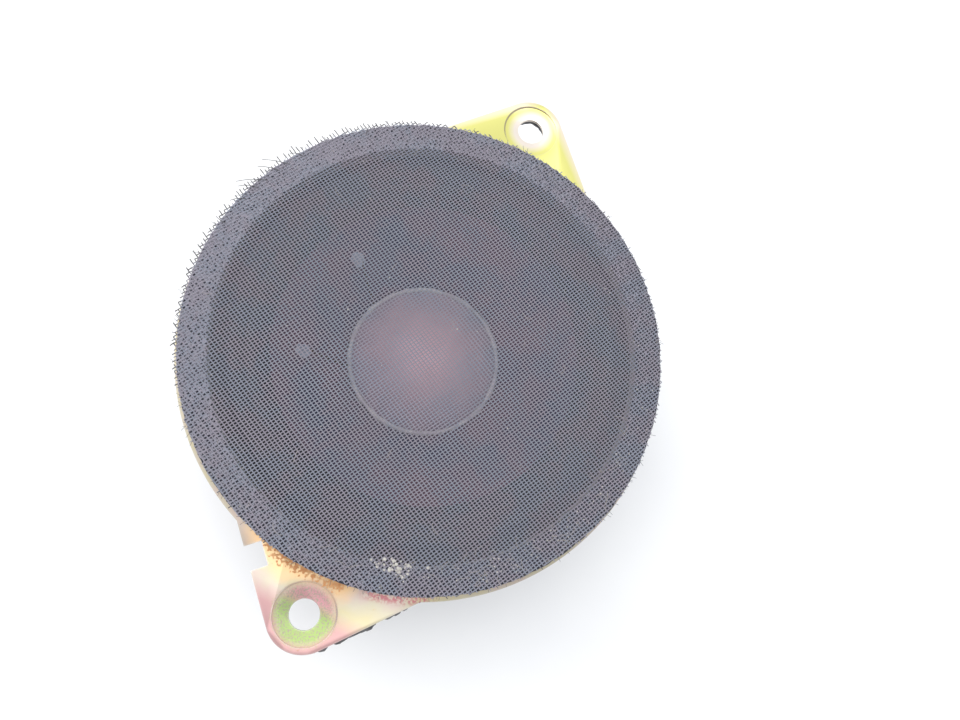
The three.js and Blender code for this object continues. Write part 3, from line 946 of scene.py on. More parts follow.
@dataclass(frozen=True)
class Felt:
    """The pressed fibre of the front ring, paler and flatter on top where glue has soaked the cloth, and paler
    towards one side: painted light falling from that side.
    """

    name: str
    top: Colour
    edge: Colour
    top_height: float
    lit_side: float
    gaps: Colour = (0.018, 0.018, 0.028)
    gap_size: float = 0.45
    gap_share: float = 0.408
    light_slope: float = 0.0021

    def material(self) -> Material:
        """Builds the finish's material."""
        coat = Coat(self.name)
        x, y, z = coat.axes()
        on_top = coat.spread(z, self.top_height - 0.5, self.top_height - 0.1)
        sides = coat.effect(Effects.mottle, {"Vector": coat.place, "Size": 1.5, "First": self.edge,
                                             "Second": tuple(c * 0.6 for c in self.edge)}).outputs["Colour"]
        # Painted light: the top's pale share grows towards the lit side and shrinks away from it.
        lit_lean = coat.plus(coat.times(x, math.cos(self.lit_side) * self.light_slope),
                           coat.times(y, math.sin(self.lit_side) * self.light_slope))
        low = coat.plus(lit_lean, self.gap_share)
        glued_and_lit_top = coat.effect(Effects.mottle, {"Vector": coat.place, "Size": self.gap_size, "First": self.top,
                                             "Low": low, "High": coat.plus(low, 0.1),
                                             "Second": self.gaps}).outputs["Colour"]
        grain = coat.effect(Effects.grain, {"Vector": coat.place, "Coarse": 0.8, "Fine": 0.15})
        coat.set(Base_Color=coat.blend(on_top, sides, glued_and_lit_top), Roughness=0.9, Sheen_Weight=0.3)
        coat.bump(grain.outputs["Height"], 0.12)
        return coat.material


@dataclass(frozen=True)
class CapFelt:
    """The pressed pinkish cloth of the dust cap, with a painted highlight: pale in the middle of the dome, darker
    towards its rim.
    """

    name: str
    middle: Colour
    rim: Colour
    radius: float

    def material(self) -> Material:
        """Builds the finish's material."""
        coat = Coat(self.name)
        drift = coat.times(coat.noise(coat.place, 4.0), 7.0)
        # Painted highlight: pale in the dome's middle, fading to the dark rim along a wavy edge.
        share = coat.spread(coat.plus(coat.radius(), drift), self.radius * 0.3, self.radius * 1.25)
        colour = coat.blend(share, self.middle, self.rim)
        # The corners darken by ambient occlusion, which gives dirt and painted shade.
        soiled_and_shaded = coat.effect(Effects.dirt_shade_and_wear, {"Colour": colour, "Dirt And Shade Amount": 0.5})
        grain = coat.effect(Effects.grain, {"Vector": coat.place, "Coarse": 0.9, "Fine": 0.18, "Fine Share": 0.6})
        coat.set(Base_Color=soiled_and_shaded.outputs["Colour"], Roughness=0.85, Sheen_Weight=0.3)
        coat.bump(grain.outputs["Height"], 0.06)
        return coat.material


@dataclass(frozen=True)
class Yarn:
    """A plain matt thread. Its pattern is the real weave, so its colour is one value per strand."""

    name: str
    colour: Colour
    roughness: float = 0.85

    def material(self) -> Material:
        """Builds the finish's material."""
        coat = Coat(self.name)
        coat.set(Base_Color=self.colour, Roughness=self.roughness, Sheen_Weight=0.35, Sheen_Roughness=0.5)
        return coat.material


# ---- Sub-assemblies ---------------------------------------------------------------------------


@dataclass
class Basket:
    """The stamped steel basket: flange, two screw ears, sloping arms, spider shelf and base."""

    steel: float = 0.9
    flange_top: float = 38.0
    flange_radius: float = 45.0
    ear_offset: float = 51.0
    ear_radius: float = 6.5
    ear_slope: float = math.radians(42)
    hole_radius: float = 2.6
    pad_radius: float = 5.4
    pad_depth: float = 0.25
    notch: Pair = (4.3, 3.0)
    notch_along: float = 11.9
    neck_radius: float = 37.0
    base_bottom: float = 16.4
    base_hole: float = 13.5
    base_bend: float = 18.9
    wall: float = 19.9
    shelf_edge: float = 25.5
    arm_foot: Pair = (26.3, 0.85)
    bend: float = 1.6
    seam: float = 0.02
    rivet_hole: float = 1.6
    edge_round: float = 0.14
    shelf_top: float = 23.05
    window_half_angle: float = 32.0
    window_reach: Pair = (25.3, 42)
    windows: Pair = (24.4, 34.1)
    lug: tuple[float, float, float] = (8.0, 24.2, 37.0)
    rivet_places: Pair = (30.0, 34.6)

    def outline(self, margin: float) -> list[Pair]:
        """Returns the flange's outline with both ears, grown by a margin in millimetres."""
        radius, reach = self.ear_radius + margin, self.flange_radius + margin
        start = Vector((self.ear_offset + radius * math.sin(self.ear_slope), radius * math.cos(self.ear_slope)))
        along = Vector((-math.cos(self.ear_slope), math.sin(self.ear_slope)))
        run = start.dot(along)
        meet = start + along * (-run - math.sqrt(run * run - start.length_squared + reach * reach))
        turn, tip = math.degrees(math.atan2(meet.y, meet.x)), 90 - math.degrees(self.ear_slope)
        return [
            *arc((0, 0), reach, turn, 180 - turn, 110),
            *arc((-self.ear_offset, 0), radius, 180 - tip, 180 + tip, 36),
            *arc((0, 0), reach, 180 + turn, 360 - turn, 110),
            *arc((self.ear_offset, 0), radius, -tip, tip, 36),
        ]

    def outline_plate(self, name: str, bottom: float, top: float, margin: float = 0.0) -> Piece:
        """Cuts a plate to the flange's outline, with the notch and the two screw holes.

        Args:
            name: The new piece's name.
            bottom: Height of the lower face in millimetres.
            top: Height of the upper face in millimetres.
            margin: How far the outline is grown, in millimetres.

        Returns:
            The plate.
        """
        plate = cut_plate(name, self.outline(margin), bottom, top)
        for side in (1, -1):
            hole = rod("hole", (side * self.ear_offset, 0), self.hole_radius - margin, bottom - DRILL_SPARE,
                       top + DRILL_SPARE, 64)
            carve(plate, hole)
        normal_x, normal_y = math.sin(self.ear_slope), math.cos(self.ear_slope)
        x = self.ear_offset + self.ear_radius * normal_x - self.notch_along * normal_y
        y = self.ear_radius * normal_y + self.notch_along * normal_x
        width, depth = self.notch
        size = (width - 2 * margin, 2 * (depth - margin), 9)
        carve(plate, block("notch", (-x, y, (bottom + top) / 2), size, self.ear_slope))
        return plate

    def bowl(self) -> Piece:
        """Presses the bowl: base, wall up to the shelf, sloping arms and neck."""
        half = self.steel / 2
        base, shelf = self.base_bottom + half, self.shelf_top - half
        flange = self.flange_top - half - self.seam
        foot, lift = self.arm_foot
        line = rounded(
            [(self.base_hole, base), (self.base_bend, base), (self.wall, shelf), (self.shelf_edge, shelf),
             (foot, shelf + lift), (self.neck_radius - 0.35, flange - 1.4), (self.neck_radius - 0.1, flange),
             (self.neck_radius + 2, flange)],
            self.bend,
        )
        bowl = revolve("bowl", sheet_section(line, self.steel), 192)
        low, high = self.windows
        for quarter in range(4):
            span = self.window_half_angle
            start = 90 * quarter - span
            outline = arc((0, 0), self.window_reach[0], start + 1.5, start + 2 * span - 1.5, 24)
            outline += arc((0, 0), self.window_reach[1], start + 2 * span, start, 24)
            carve(bowl, cut_plate("window", outline, low, high))
        return bowl

    def build(self) -> None:
        """Joins flange and bowl, coins the screw pads, drills the rest and rounds every edge."""
        bottom = self.flange_top - self.steel
        flange = self.outline_plate("basket", bottom, self.flange_top)
        carve(flange, rod("mouth", (0, 0), self.neck_radius + 1, bottom - DRILL_SPARE, self.flange_top + DRILL_SPARE,
                          192))
        for side in (1, -1):
            pad = rod("pad", (side * self.ear_offset, 0), self.pad_radius,
                      self.flange_top - self.pad_depth, self.flange_top + DRILL_SPARE, 96)
            carve(flange, pad)
        width, start, end = self.lug
        lug = block("lug", (0, (start + end) / 2, self.shelf_top - self.steel / 2),
                    (width, end - start, self.steel - 2 * self.seam))
        basket = self.bowl()
        carve(basket, flange, "UNION")
        carve(basket, lug, "UNION")
        for y in self.rivet_places:
            carve(basket, rod("rivet_hole", (0, y), self.rivet_hole, self.shelf_top - 3, self.shelf_top + 2, 32))
        basket.name = basket.data.name = "basket_pressing"
        soften(basket, self.edge_round, 2, 38)
        finish = YellowZinc("yellow_zinc", self.ear_offset, self.pad_radius, self.flange_radius)
        hand_over(lay(basket, finish.material()), Body.FRAME, "zinc_yellow", "basket")


@dataclass
class Front:
    """The fibre ring with woven cloth glued over it, the frayed edge and what has caught in it.

    Warp and weft threads run at their own angles and pitches. Where they cross, they pass over and under
    each other in turn, so a strand is a zigzag with one ring of vertices at each crossing. A drift is the
    noise's own layer, its grain and its reach, and a pulled thread is where it leaves the rim in degrees,
    its length and its lean in radians. The last tone is that of the frayed ends.
    """

    radius: float = 44.0
    ring_inner: float = 39.0
    ring_heights: Pair = (38.6, 41.86)
    cloth_height: float = 42.02
    sag: float = 0.25
    spare: float = 2.5
    drifts: tuple[Point, ...] = ((0.0, 4.5, 0.028), (7.0, 16.0, 0.11))
    rim_drift: Point = (3.0, 0.8, 0.09)
    flatness: float = 0.35
    hem_inner: float = 36.6
    warp_turn: float = math.radians(61.6)
    weft_turn: float = math.radians(-31.5)
    warp_spacing: float = 0.663
    weft_spacing: float = 0.538
    thread: Pair = (0.19, 0.145)
    rise: float = 0.07
    fray: Pair = (0.5, 1.3)
    frayed_side: float = math.radians(70)
    bare_rim: float = 0.2
    draws: int = 999
    strays: int = 130
    pulled: tuple[Point, ...] = (
        (62, 5.2, 0.7), (65, 4.2, 0.55), (69, 5.6, 0.75), (72, 3.6, 0.4), (76, 3.0, 0.6), (58, 2.6, 0.4),
        (84, 2.2, 0.3), (41, 2.4, -0.5),
    )
    tones: tuple[Colour, ...] = (
        (0.258, 0.254, 0.306), (0.24, 0.254, 0.312), (0.272, 0.249, 0.298), (0.055, 0.05, 0.05),
    )

    def ring(self) -> Piece:
        """Presses the fibre ring, a little uneven all round."""
        low, high = self.ring_heights
        line = [(self.ring_inner, low), (self.radius, low), (self.radius, high), (self.ring_inner, high)]
        ring = revolve("fibre_ring", line, 256)
        modify(ring, "BEVEL", width=mm(0.25), segments=3, limit_method="ANGLE", angle_limit=math.radians(40))
        with editing(ring):
            bpy.ops.mesh.subdivide(number_cuts=2)
        roughen(ring, 0.16, 1.3)
        soften(ring, 0, angle=50)
        # Its top pales towards the frayed side, as painted light falling from there.
        finish = Felt("fibre_and_glue", (0.27, 0.26, 0.305), (0.085, 0.08, 0.08), high, self.frayed_side)
        return hand_over(lay(ring, finish.material()), Body.FRAME, "felt", "front_gasket")

    def strand(self, name: str, step: float, sign: int) -> Piece:
        """Models one repeat of a strand along X: up, down and up again over two crossings."""
        deselect()
        bpy.ops.mesh.primitive_circle_add(vertices=4, radius=0.5, rotation=(0, math.pi / 2, 0), location=(0, 0, 0))
        strand = named(name)
        bpy.ops.object.transform_apply(rotation=True)
        with editing(strand):
            width, height = self.thread
            bpy.ops.transform.resize(value=(1, mm(width), mm(height)), center_override=(0, 0, 0))
            bpy.ops.transform.translate(value=(0, 0, mm(sign * self.rise)))
            for direction in (-sign, sign):
                move = {"value": (mm(step), 0, mm(direction * 2 * self.rise))}
                bpy.ops.mesh.extrude_region_move(TRANSFORM_OT_translate=move)
        return strand

    def family(self, name: str, lean: float, step: float, gap: float, first: int) -> Piece:
        """Lays all the parallel threads of one direction over a square a little larger than the cloth.

        Args:
            name: The new piece's name.
            lean: Direction of the crossing threads from these, in radians.
            step: Distance along a thread from one crossing to the next, in millimetres.
            gap: Distance from a thread to the next, along the crossing threads, in millimetres.
            first: Whether the thread through the middle passes over there (1) or under (-1).

        Returns:
            The threads, as one mesh, still along X.
        """
        across = Vector((gap * math.cos(lean), gap * math.sin(lean), 0))
        upper, lower = self.strand(name, step, first), self.strand(name + "_next", step, -first)
        lower.location = across * mm(1)
        settle(lower)
        pair = join(name, [upper, lower])
        reach = self.radius + self.spare
        cells = 2 * math.ceil(reach / (2 * step))
        pairs = 2 * math.ceil(reach / (2 * abs(across.y)))
        modify(pair, "ARRAY", count=cells, use_relative_offset=False, use_constant_offset=True,
               constant_offset_displace=(mm(2 * step), 0, 0), use_merge_vertices=True, merge_threshold=mm(0.001))
        modify(pair, "ARRAY", count=pairs, use_relative_offset=False, use_constant_offset=True,
               constant_offset_displace=tuple(across * mm(2)))
        pair.location = (-mm(cells * step), 0, 0)
        pair.location -= across * mm(pairs)
        settle(pair)
        return pair

    def trim(self, threads: Piece, turn: float, across: float, step: float, inner: float,
             outer: float | None) -> None:
        """Cuts threads along X to a disc, or to a ring with a frayed rim, and closes every cut end.

        Args:
            threads: The threads to cut.
            turn: The way that they will be turned about Z, in radians.
            across: Distance between neighbouring threads in millimetres.
            step: Distance from one crossing to the next in millimetres.
            inner: Radius inside which the threads are cut away, in millimetres.
            outer: Radius outside which they are cut away, or None for the frayed rim.
        """
        count = len(threads.data.vertices)
        places = np.empty(count * 3)
        threads.data.vertices.foreach_get("co", places)
        places = places.reshape(-1, 3) * PER_METRE
        line = np.round(places[:, 1] / across)
        along, aside = np.abs(places[:, 0]), np.abs(line * across)
        reach, beyond = np.hypot(along, aside), np.hypot(along + step, aside)
        least, most = self.fray
        ends = np.random.default_rng(round(abs(turn) * 100)).uniform(0, 1, size=(2, self.draws))
        ends = ends[(places[:, 0] > 0).astype(int), line.astype(int) % self.draws]
        heading = np.arctan2(line * across, places[:, 0]) + turn - self.frayed_side
        lobe = np.clip(np.cos(heading), 0, 1) ** 2
        brim = np.sqrt(np.maximum(self.radius**2 - aside**2, 0))
        edge = brim + ends * least + lobe * most * (0.4 + 0.6 * ends)
        outside = along > edge if outer is None else reach > outer
        gone = outside | (beyond < inner) | (aside > self.radius - self.bare_rim)
        with editing(threads, all_selected=False):
            pass
        threads.data.vertices.foreach_set("select", gone)
        bpy.ops.object.mode_set(mode="EDIT")
        bpy.ops.mesh.delete(type="VERT")
        bpy.ops.mesh.select_all(action="SELECT")
        bpy.ops.mesh.delete_loose()
        bpy.ops.mesh.select_all(action="SELECT")
        bpy.ops.mesh.fill_holes(sides=4)
        bpy.ops.mesh.select_all(action="SELECT")
        bpy.ops.mesh.normals_make_consistent(inside=False)
        bpy.ops.object.mode_set(mode="OBJECT")

    def loosen(self, cloth: Piece) -> None:
        """Lets the threads wander a little and the cloth sag in the middle."""
        for vertex in cloth.data.vertices:
            x, y, _ = vertex.co
            far = math.hypot(x, y) / mm(self.radius)
            drift = Vector((0, 0, 0))
            for layer, grain, reach in self.drifts:
                drift += noise.noise_vector(Vector((x, y, layer)) / mm(grain)) * mm(reach)
            loose = min(max(far - 0.985, 0) / 0.02, 1.0)
            layer, grain, reach = self.rim_drift
            drift += noise.noise_vector(Vector((x, y, layer)) / mm(grain)) * mm(reach) * loose
            drift.z *= self.flatness
            vertex.co += drift + Vector((0, 0, mm(self.cloth_height) - mm(self.sag) * max(1 - far * far, 0)))
        cloth.data.update()

    def dye(self, cloth: Piece) -> None:
        """Gives the threads their slightly different greys, thread by thread and patch by patch."""
        lay(cloth, *[Yarn(f"yarn_{i}", tone).material() for i, tone in enumerate(self.tones)])
        for face in cloth.data.polygons:
            centre = face.center
            patch = noise.noise(centre / mm(6.0)) + 0.5 * noise.noise(centre / mm(1.1))
            frayed = centre.x**2 + centre.y**2 > mm(self.radius + 0.05) ** 2
            face.material_index = 3 if frayed else 1 if patch > 0.15 else 2 if patch < -0.15 else 0

    def woven(self, name: str, inner: float, outer: float | None) -> Piece:
        """Weaves one stretch of the cloth, between two radii in millimetres."""
        lean = self.weft_turn - self.warp_turn
        warp_gap = self.warp_spacing / abs(math.sin(lean))
        weft_gap = self.weft_spacing / abs(math.sin(lean))
        parts = []
        for way, turn, bend, step, gap, first in (
            ("warp", self.warp_turn, lean, weft_gap, warp_gap, 1),
            ("weft", self.weft_turn, -lean, warp_gap, weft_gap, -1),
        ):
            part = self.family(f"{name}_{way}", bend, step, gap, first)
            self.trim(part, turn, gap * abs(math.sin(lean)), step, inner, outer)
            part.rotation_euler.z = turn
            settle(part)
            parts.append(part)
        cloth = join(name, parts)
        self.loosen(cloth)
        self.dye(cloth)
        choose(cloth)
        bpy.ops.object.shade_smooth()
        return cloth

    def fibres(self, name: str, runs: Sequence[Sequence[Point]], width: float, yarn: Yarn) -> Piece:
        """Makes many fine fibres as one piece, not yet on a body.

        Args:
            name: The new piece's name.
            runs: The points of each fibre, in millimetres.
            width: Thickness in millimetres.
            yarn: The fibres' finish.

        Returns:
            The piece.
        """
        return lay(wires(name, runs, width / 2, 4, 3), yarn.material())

    def stray_ends(self) -> Piece:
        """Frays short fibres out of the rim."""
        numbers = random.Random(11)
        runs = []
        for _ in range(self.strays):
            angle = numbers.uniform(0, math.tau)
            length = numbers.uniform(0.3, 0.9) * (1.5 if 0.4 < angle < 2.4 else 1.0)
            lean = numbers.uniform(-0.9, 0.9)
            start = Vector((math.cos(angle), math.sin(angle), 0)) * (self.radius - 0.7)
            start.z = self.cloth_height + numbers.uniform(-0.1, 0.1)
            ahead = Vector((math.cos(angle + lean), math.sin(angle + lean), numbers.uniform(-0.25, 0.3)))
            curl = Vector((numbers.uniform(-0.3, 0.3), numbers.uniform(-0.3, 0.3), numbers.uniform(-0.2, 0.2)))
            runs.append([tuple(start + ahead * (length + 0.7) * t + curl * t * t) for t in (0, 0.5, 1.0)])
        return self.fibres("stray_ends", runs, 0.06, Yarn("yarn_dark", (0.07, 0.07, 0.09)))

    def loose_threads(self) -> Piece:
        """Pulls a few long threads out of the rim on the terminal side."""
        numbers = random.Random(5)
        runs = []
        for angle, length, lean in self.pulled:
            turn = math.radians(angle)
            start = Vector((math.cos(turn), math.sin(turn), 0)) * (self.radius - 1.2)
            start.z = self.cloth_height + 0.1
            ahead = Vector((math.cos(turn + lean), math.sin(turn + lean), 0))
            side = Vector((-ahead.y, ahead.x, 0)) * numbers.uniform(-1.2, 0.9)
            runs.append([tuple(start + ahead * length * t + side * t * t + Vector((0, 0,
                                                                                   0.9 * t * (1 - t) - 0.8 * t * t)))
                         for t in (0, 0.25, 0.5, 0.75, 1.0)])
        return self.fibres("loose_threads", runs, 0.13, Yarn("yarn_loose", (0.09, 0.09, 0.095)))

    def lint(self) -> Piece:
        """Scatters pale lint on the cloth, most of it over the ring on the far side."""
        numbers = random.Random(23)
        runs = []
        for i in range(80):
            angle = math.radians(numbers.gauss(232, 30) if i < 52 else numbers.uniform(0, 360))
            reach = numbers.uniform(38.5, 43.8) if i < 60 else 44 * math.sqrt(numbers.random()) * 0.95
            start = Vector((reach * math.cos(angle), reach * math.sin(angle), self.cloth_height + 0.2))
            length = numbers.uniform(0.5, 2.6)
            way = numbers.uniform(0, math.tau)
            ahead = Vector((math.cos(way), math.sin(way), 0))
            side = Vector((-ahead.y, ahead.x, 0)) * numbers.uniform(-0.9, 0.9)
            runs.append([tuple(start + ahead * length * t + side * math.sin(t * math.pi)
                               + Vector((0, 0, 0.25 * math.sin(t * math.pi))))
                         for t in (0, 0.33, 0.66, 1.0)])
        return self.fibres("lint", runs, 0.05, Yarn("lint_fibre", (0.42, 0.38, 0.34)))

    def crumbs(self) -> Piece:
        """Drops crumbs of dry glue and dust on the cloth, thickest in one stain on the ring's inner edge."""
        numbers = random.Random(31)
        places = [(numbers.gauss(195.5, 2.6), numbers.gauss(39.4, 0.7),
                   numbers.uniform(0.16, 0.36)) for _ in range(46)]
        places += [(numbers.gauss(235, 28), numbers.uniform(39.2, 43.4),
                    numbers.uniform(0.07, 0.17)) for _ in range(110)]
        places += [(numbers.uniform(0, 360), 43 * math.sqrt(numbers.random()),
                    numbers.uniform(0.07, 0.16)) for _ in range(34)]
        crumbs = []
        for degrees, reach, size in places:
            turn = math.radians(degrees)
            at = (mm(reach * math.cos(turn)), mm(reach * math.sin(turn)),
                  mm(self.cloth_height - 0.1 + numbers.uniform(0, 0.12)))
            deselect()
            shape = [size * numbers.uniform(0.7, 1.3), size * numbers.uniform(0.7, 1.3), size * 0.6]
            bpy.ops.mesh.primitive_ico_sphere_add(subdivisions=1, radius=mm(1), location=at, scale=shape)
            crumbs.append(bpy.context.object)
        pile = join("crumbs", crumbs)
        settle(pile)
        soften(pile, 0, angle=80)
        finish = Finish("dry_glue", (0.62, 0.60, 0.55), (0.48, 0.45, 0.42), patch=0.6, roughness=(0.8, 0.95),
                        depth=0.02)
        return lay(pile, finish.material())

    def build(self) -> None:
        """Builds the ring, the cloth and all that hangs from it."""
        ring = self.ring()
        cloth = self.woven("grille_cloth_weave", -1.0, self.hem_inner)
        hem = self.woven("cloth_hem", self.hem_inner, None)
        trimmings = [hem, self.stray_ends(), self.loose_threads(), self.lint(), self.crumbs()]
        hand_over(cloth, Body.FRAME, "cloth", "grille_cloth")
        for piece in trimmings:
            hand_over(piece, Body.FRAME, "cloth")


@dataclass
class Diaphragm:
    """All that moves: the paper cone, its dust cap, the voice coil, its two wires and the lacquer dabs."""

    neck: Pair = (10.6, 27.1)
    rim: Pair = (30.3, 37.75)
    paper: float = 0.5
    cap_radius: float = 14.3
    cap_edge: float = 29.85
    cap_rise: float = 4.7
    cap_wall: float = 0.4
    former: Pair = (9.95, 10.2)
    former_heights: Pair = (11.0, 28.4)
    winding: Pair = (10.28, 10.6)
    winding_heights: Pair = (11.2, 17.6)
    collar: tuple[float, float, float] = (0.14, 17.8, 23.6)
    wire_radius: float = 0.2
    wire_reach: Pair = (14.6, 22.4)
    dab_radius: float = 23.0
    dab_size: Point = (1.7, 1.35, 0.45)
    dab_angles: tuple[tuple[str, float], ...] = (("positive", 59.5), ("negative", 113.5))

    def on_cone(self, radius: float, degrees: float, above: float) -> Point:
        """Returns a place over the cone's middle surface, with its height above it measured squarely.

        Args:
            radius: Distance from the axis in millimetres.
            degrees: Angle round the axis.
            above: Height over the cone's face in millimetres.

        Returns:
            The point.
        """
        tilt = math.atan2(self.rim[1] - self.neck[1], self.rim[0] - self.neck[0])
        height = self.neck[1] + (radius - self.neck[0]) * math.tan(tilt) + above * math.cos(tilt)
        reach, turn = radius - above * math.sin(tilt), math.radians(degrees)
        return (reach * math.cos(turn), reach * math.sin(turn), height)

    def cone(self) -> None:
        """Presses the cone from paper pulp."""
        line = [tuple(np.array(self.neck) * (1 - t) + np.array(self.rim) * t) for t in np.linspace(0, 1, 25)]
        cone = revolve("paper_cone", sheet_section(line, self.paper), 160)
        roughen(cone, 0.035, 1.6)
        soften(cone, 0, angle=50)
        finish = Finish("pulp_paper", (0.022, 0.023, 0.05), (0.085, 0.05, 0.07), patch=14, roughness=(0.82, 0.95),
                        coarse=1.4, fine=0.25, depth=0.07, fine_share=0.6, dirt_and_shade_amount=0.25, sheen=0.15)
        hand_over(lay(cone, finish.material()), Body.DIAPHRAGM, "paper", "cone")

    def cap(self) -> None:
        """Domes the dust cap and runs the bead of glue round its edge."""
        ball = (self.cap_radius**2 + self.cap_rise**2) / (2 * self.cap_rise)
        middle = (0.0, self.cap_edge + self.cap_rise - ball)
        edge = math.degrees(math.acos(self.cap_radius / ball))
        outer = arc(middle, ball, edge, 90, 22)
        inner = arc(middle, ball - self.cap_wall, 90, edge, 22)
        cap = revolve("domed_cap", [*outer[:-1], (0.0, outer[-1][1]), (0.0, inner[0][1]), *inner[1:]], 128)
        soften(cap, 0, angle=50)
        # Pinkish cloth with a painted highlight: the pale middle stands in for light on the dome.
        finish = CapFelt("cap_felt", (0.63, 0.375, 0.42), (0.18, 0.145, 0.19), self.cap_radius)
        hand_over(lay(cap, finish.material()), Body.DIAPHRAGM, "treated_cloth", "dust_cap")
        bead = revolve("cap_glue", arc((self.cap_radius + 0.1, self.cap_edge - 0.05), 0.45, 0, 324, 9), 160)
        roughen(bead, 0.22, 1.9)
        soften(bead, 0, angle=60)
        glue = Finish("pale_glue", (0.42, 0.39, 0.40), (0.26, 0.24, 0.27), patch=2.5, roughness=(0.25, 0.45),
                      depth=0.05, coat=0.3)
        hand_over(lay(bead, glue.material()), Body.DIAPHRAGM, "lacquer")

    def coil(self) -> None:
        """Rolls the former with its paper collar and winds the coil on it, turn beside turn."""
        inner, outer = self.former
        low, high = self.former_heights
        former = revolve("coil_tube", [(inner, low), (outer, low), (outer, high), (inner, high)], 128)
        soften(former, 0.04, 1)
        metal = Finish("former_aluminium", (0.62, 0.62, 0.64), (0.5, 0.5, 0.53), roughness=(0.25, 0.4), metallic=1.0)
        hand_over(lay(former, metal.material()), Body.DIAPHRAGM, "aluminium", "coil_former")
        wall, low, high = self.collar
        line = [(outer, low), (outer + wall, low), (outer + wall, high), (outer, high)]
        collar = revolve("coil_collar", line, 128)
        soften(collar, 0.03, 1)
        kraft = Finish("kraft_collar", (0.42, 0.27, 0.13), (0.34, 0.21, 0.10), roughness=(0.7, 0.85), depth=0.04)
        hand_over(lay(collar, kraft.material()), Body.DIAPHRAGM, "paper")
        low, high = self.winding_heights
        start, crest = self.winding
        turns = round((high - low) / self.wire_radius)
        pitch = (high - low) / turns
        bumps = []
        for i in range(turns):
            bumps += [(crest - 0.07, low + (i + 0.08) * pitch), (crest, low + (i + 0.5) * pitch)]
        coil = revolve("voice_coil", [(start, high), (start, low), *bumps, (crest - 0.07, high - 0.01)], 96)
        soften(coil, 0, angle=75)
        copper = Finish("coil_copper", (0.55, 0.2, 0.07), (0.45, 0.15, 0.05), roughness=(0.22, 0.35), metallic=0.9,
                        depth=0.01, coat=0.6)
        hand_over(lay(coil, copper.material()), Body.DIAPHRAGM, "copper", "coil_winding")

    def connections(self) -> None:
        """Leads the coil's wires out over the cone to their dabs of lacquer."""
        copper = Finish("wire_enamel", (0.05, 0.025, 0.018), (0.03, 0.02, 0.018), roughness=(0.3, 0.4), metallic=0.6,
                        coat=0.5)
        enamel = copper.material()
        pale = Finish("dab_lacquer", (0.24, 0.27, 0.34), (0.17, 0.19, 0.25), patch=1.2, roughness=(0.15, 0.3),
                      depth=0.04,
                      coarse=1.0, coat=0.6).material()
        for pole, degrees in self.dab_angles:
            run = [self.on_cone(r, degrees + 21 - r, 0.42) for r in np.linspace(*self.wire_reach, 7)]
            wire = lay(wires(f"cone_wire_{pole}", [run], self.wire_radius, 8), enamel)
            hand_over(wire, Body.DIAPHRAGM, "copper", f"coil_wire_{pole}")
            deselect()
            tilt = math.atan2(self.rim[1] - self.neck[1], self.rim[0] - self.neck[0])
            bpy.ops.mesh.primitive_uv_sphere_add(
                segments=36, ring_count=18, radius=mm(1),
                location=[mm(c) for c in self.on_cone(self.dab_radius, degrees, 0.3)],
                rotation=(0, -tilt, math.radians(degrees)), scale=self.dab_size,
            )
            dab = named(f"dab_{pole}")
            settle(dab)
            roughen(dab, 0.35, 1.3)
            soften(dab, 0, angle=80)
            hand_over(lay(dab, pale), Body.DIAPHRAGM, "lacquer", f"lead_dab_{pole}")

    def build(self) -> None:
        """Builds every moving piece."""
        self.cone()
        self.cap()
        self.coil()
        self.connections()


@dataclass
class Suspension:
    """What lets the diaphragm slide and keeps it centred: the double-roll surround and the spider."""

    roll_line: tuple[Pair, ...] = (
        (28.8, 37.6), (30.3, 38.4), (31.4, 39.4), (32.3, 39.3), (33.0, 38.7), (33.8, 39.6), (34.8, 40.0),
        (35.8, 39.6),
        (37.2, 38.3), (43.0, 38.3),
    )
    roll_thickness: float = 0.4
    spider_start: float = 11.3
    spider_height: float = 24.4
    spider_lip: tuple[Pair, Pair] = ((10.5, 1.0), (10.9, 0.1))
    wave: Pair = (1.45, 0.6)
    waves: int = 6
    shelf: tuple[Pair, ...] = ((20.6, 23.35), (24.4, 23.35))
    spider_thickness: float = 0.35
    glue_lines: tuple[tuple[str, Pair, Body], ...] = (
        ("shelf_glue", (24.3, 23.45), Body.FRAME), ("collar_glue", (10.62, 25.35), Body.DIAPHRAGM),
    )
    glue_radius: float = 0.36

    def surround(self) -> None:
        """Forms the surround's two rolls, with its lip on the cone and its land under the ring."""
        roll = revolve("double_roll", sheet_section(rounded(self.roll_line, 0.9, 4), self.roll_thickness), 192)
        soften(roll, 0, angle=50)
        finish = WovenCoat("coated_cloth", (0.012, 0.013, 0.024), (0.006, 0.006, 0.011), 0.55, 0.6, 0.05, 0.0)
        hang_between(lay(roll, finish.material()), "surround")

    def spider(self) -> None:
        """Presses the spider's waves and glues it to the basket and to the coil."""
        length, swing = self.wave
        line = [(radius, self.spider_height + rise) for radius, rise in self.spider_lip]
        for i in range(self.waves * 8 + 1):
            share = i / 8
            line.append((self.spider_start + share * length, self.spider_height + swing * math.sin(share * math.pi)))
        spider = revolve("spider_web", sheet_section([*line, *self.shelf], self.spider_thickness), 160)
        soften(spider, 0, angle=50)
        finish = WovenCoat("spider_weave", (0.46, 0.27, 0.09), (0.22, 0.12, 0.04), 0.7, 0.75, 0.09)
        hang_between(lay(spider, finish.material()), "spider")
        glue = Finish("amber_glue", (0.25, 0.13, 0.04), (0.16, 0.08, 0.03), patch=3, roughness=(0.2, 0.35),
                      depth=0.05,
                      coat=0.4).material()
        for name, place, body in self.glue_lines:
            bead = revolve(name, arc(place, self.glue_radius, 0, 320, 8), 160)
            roughen(bead, 0.16, 2.0)
            soften(bead, 0, angle=60)
            hand_over(lay(bead, glue), body, "lacquer")

    def build(self) -> None:
        """Builds both."""
        self.surround()
        self.spider()


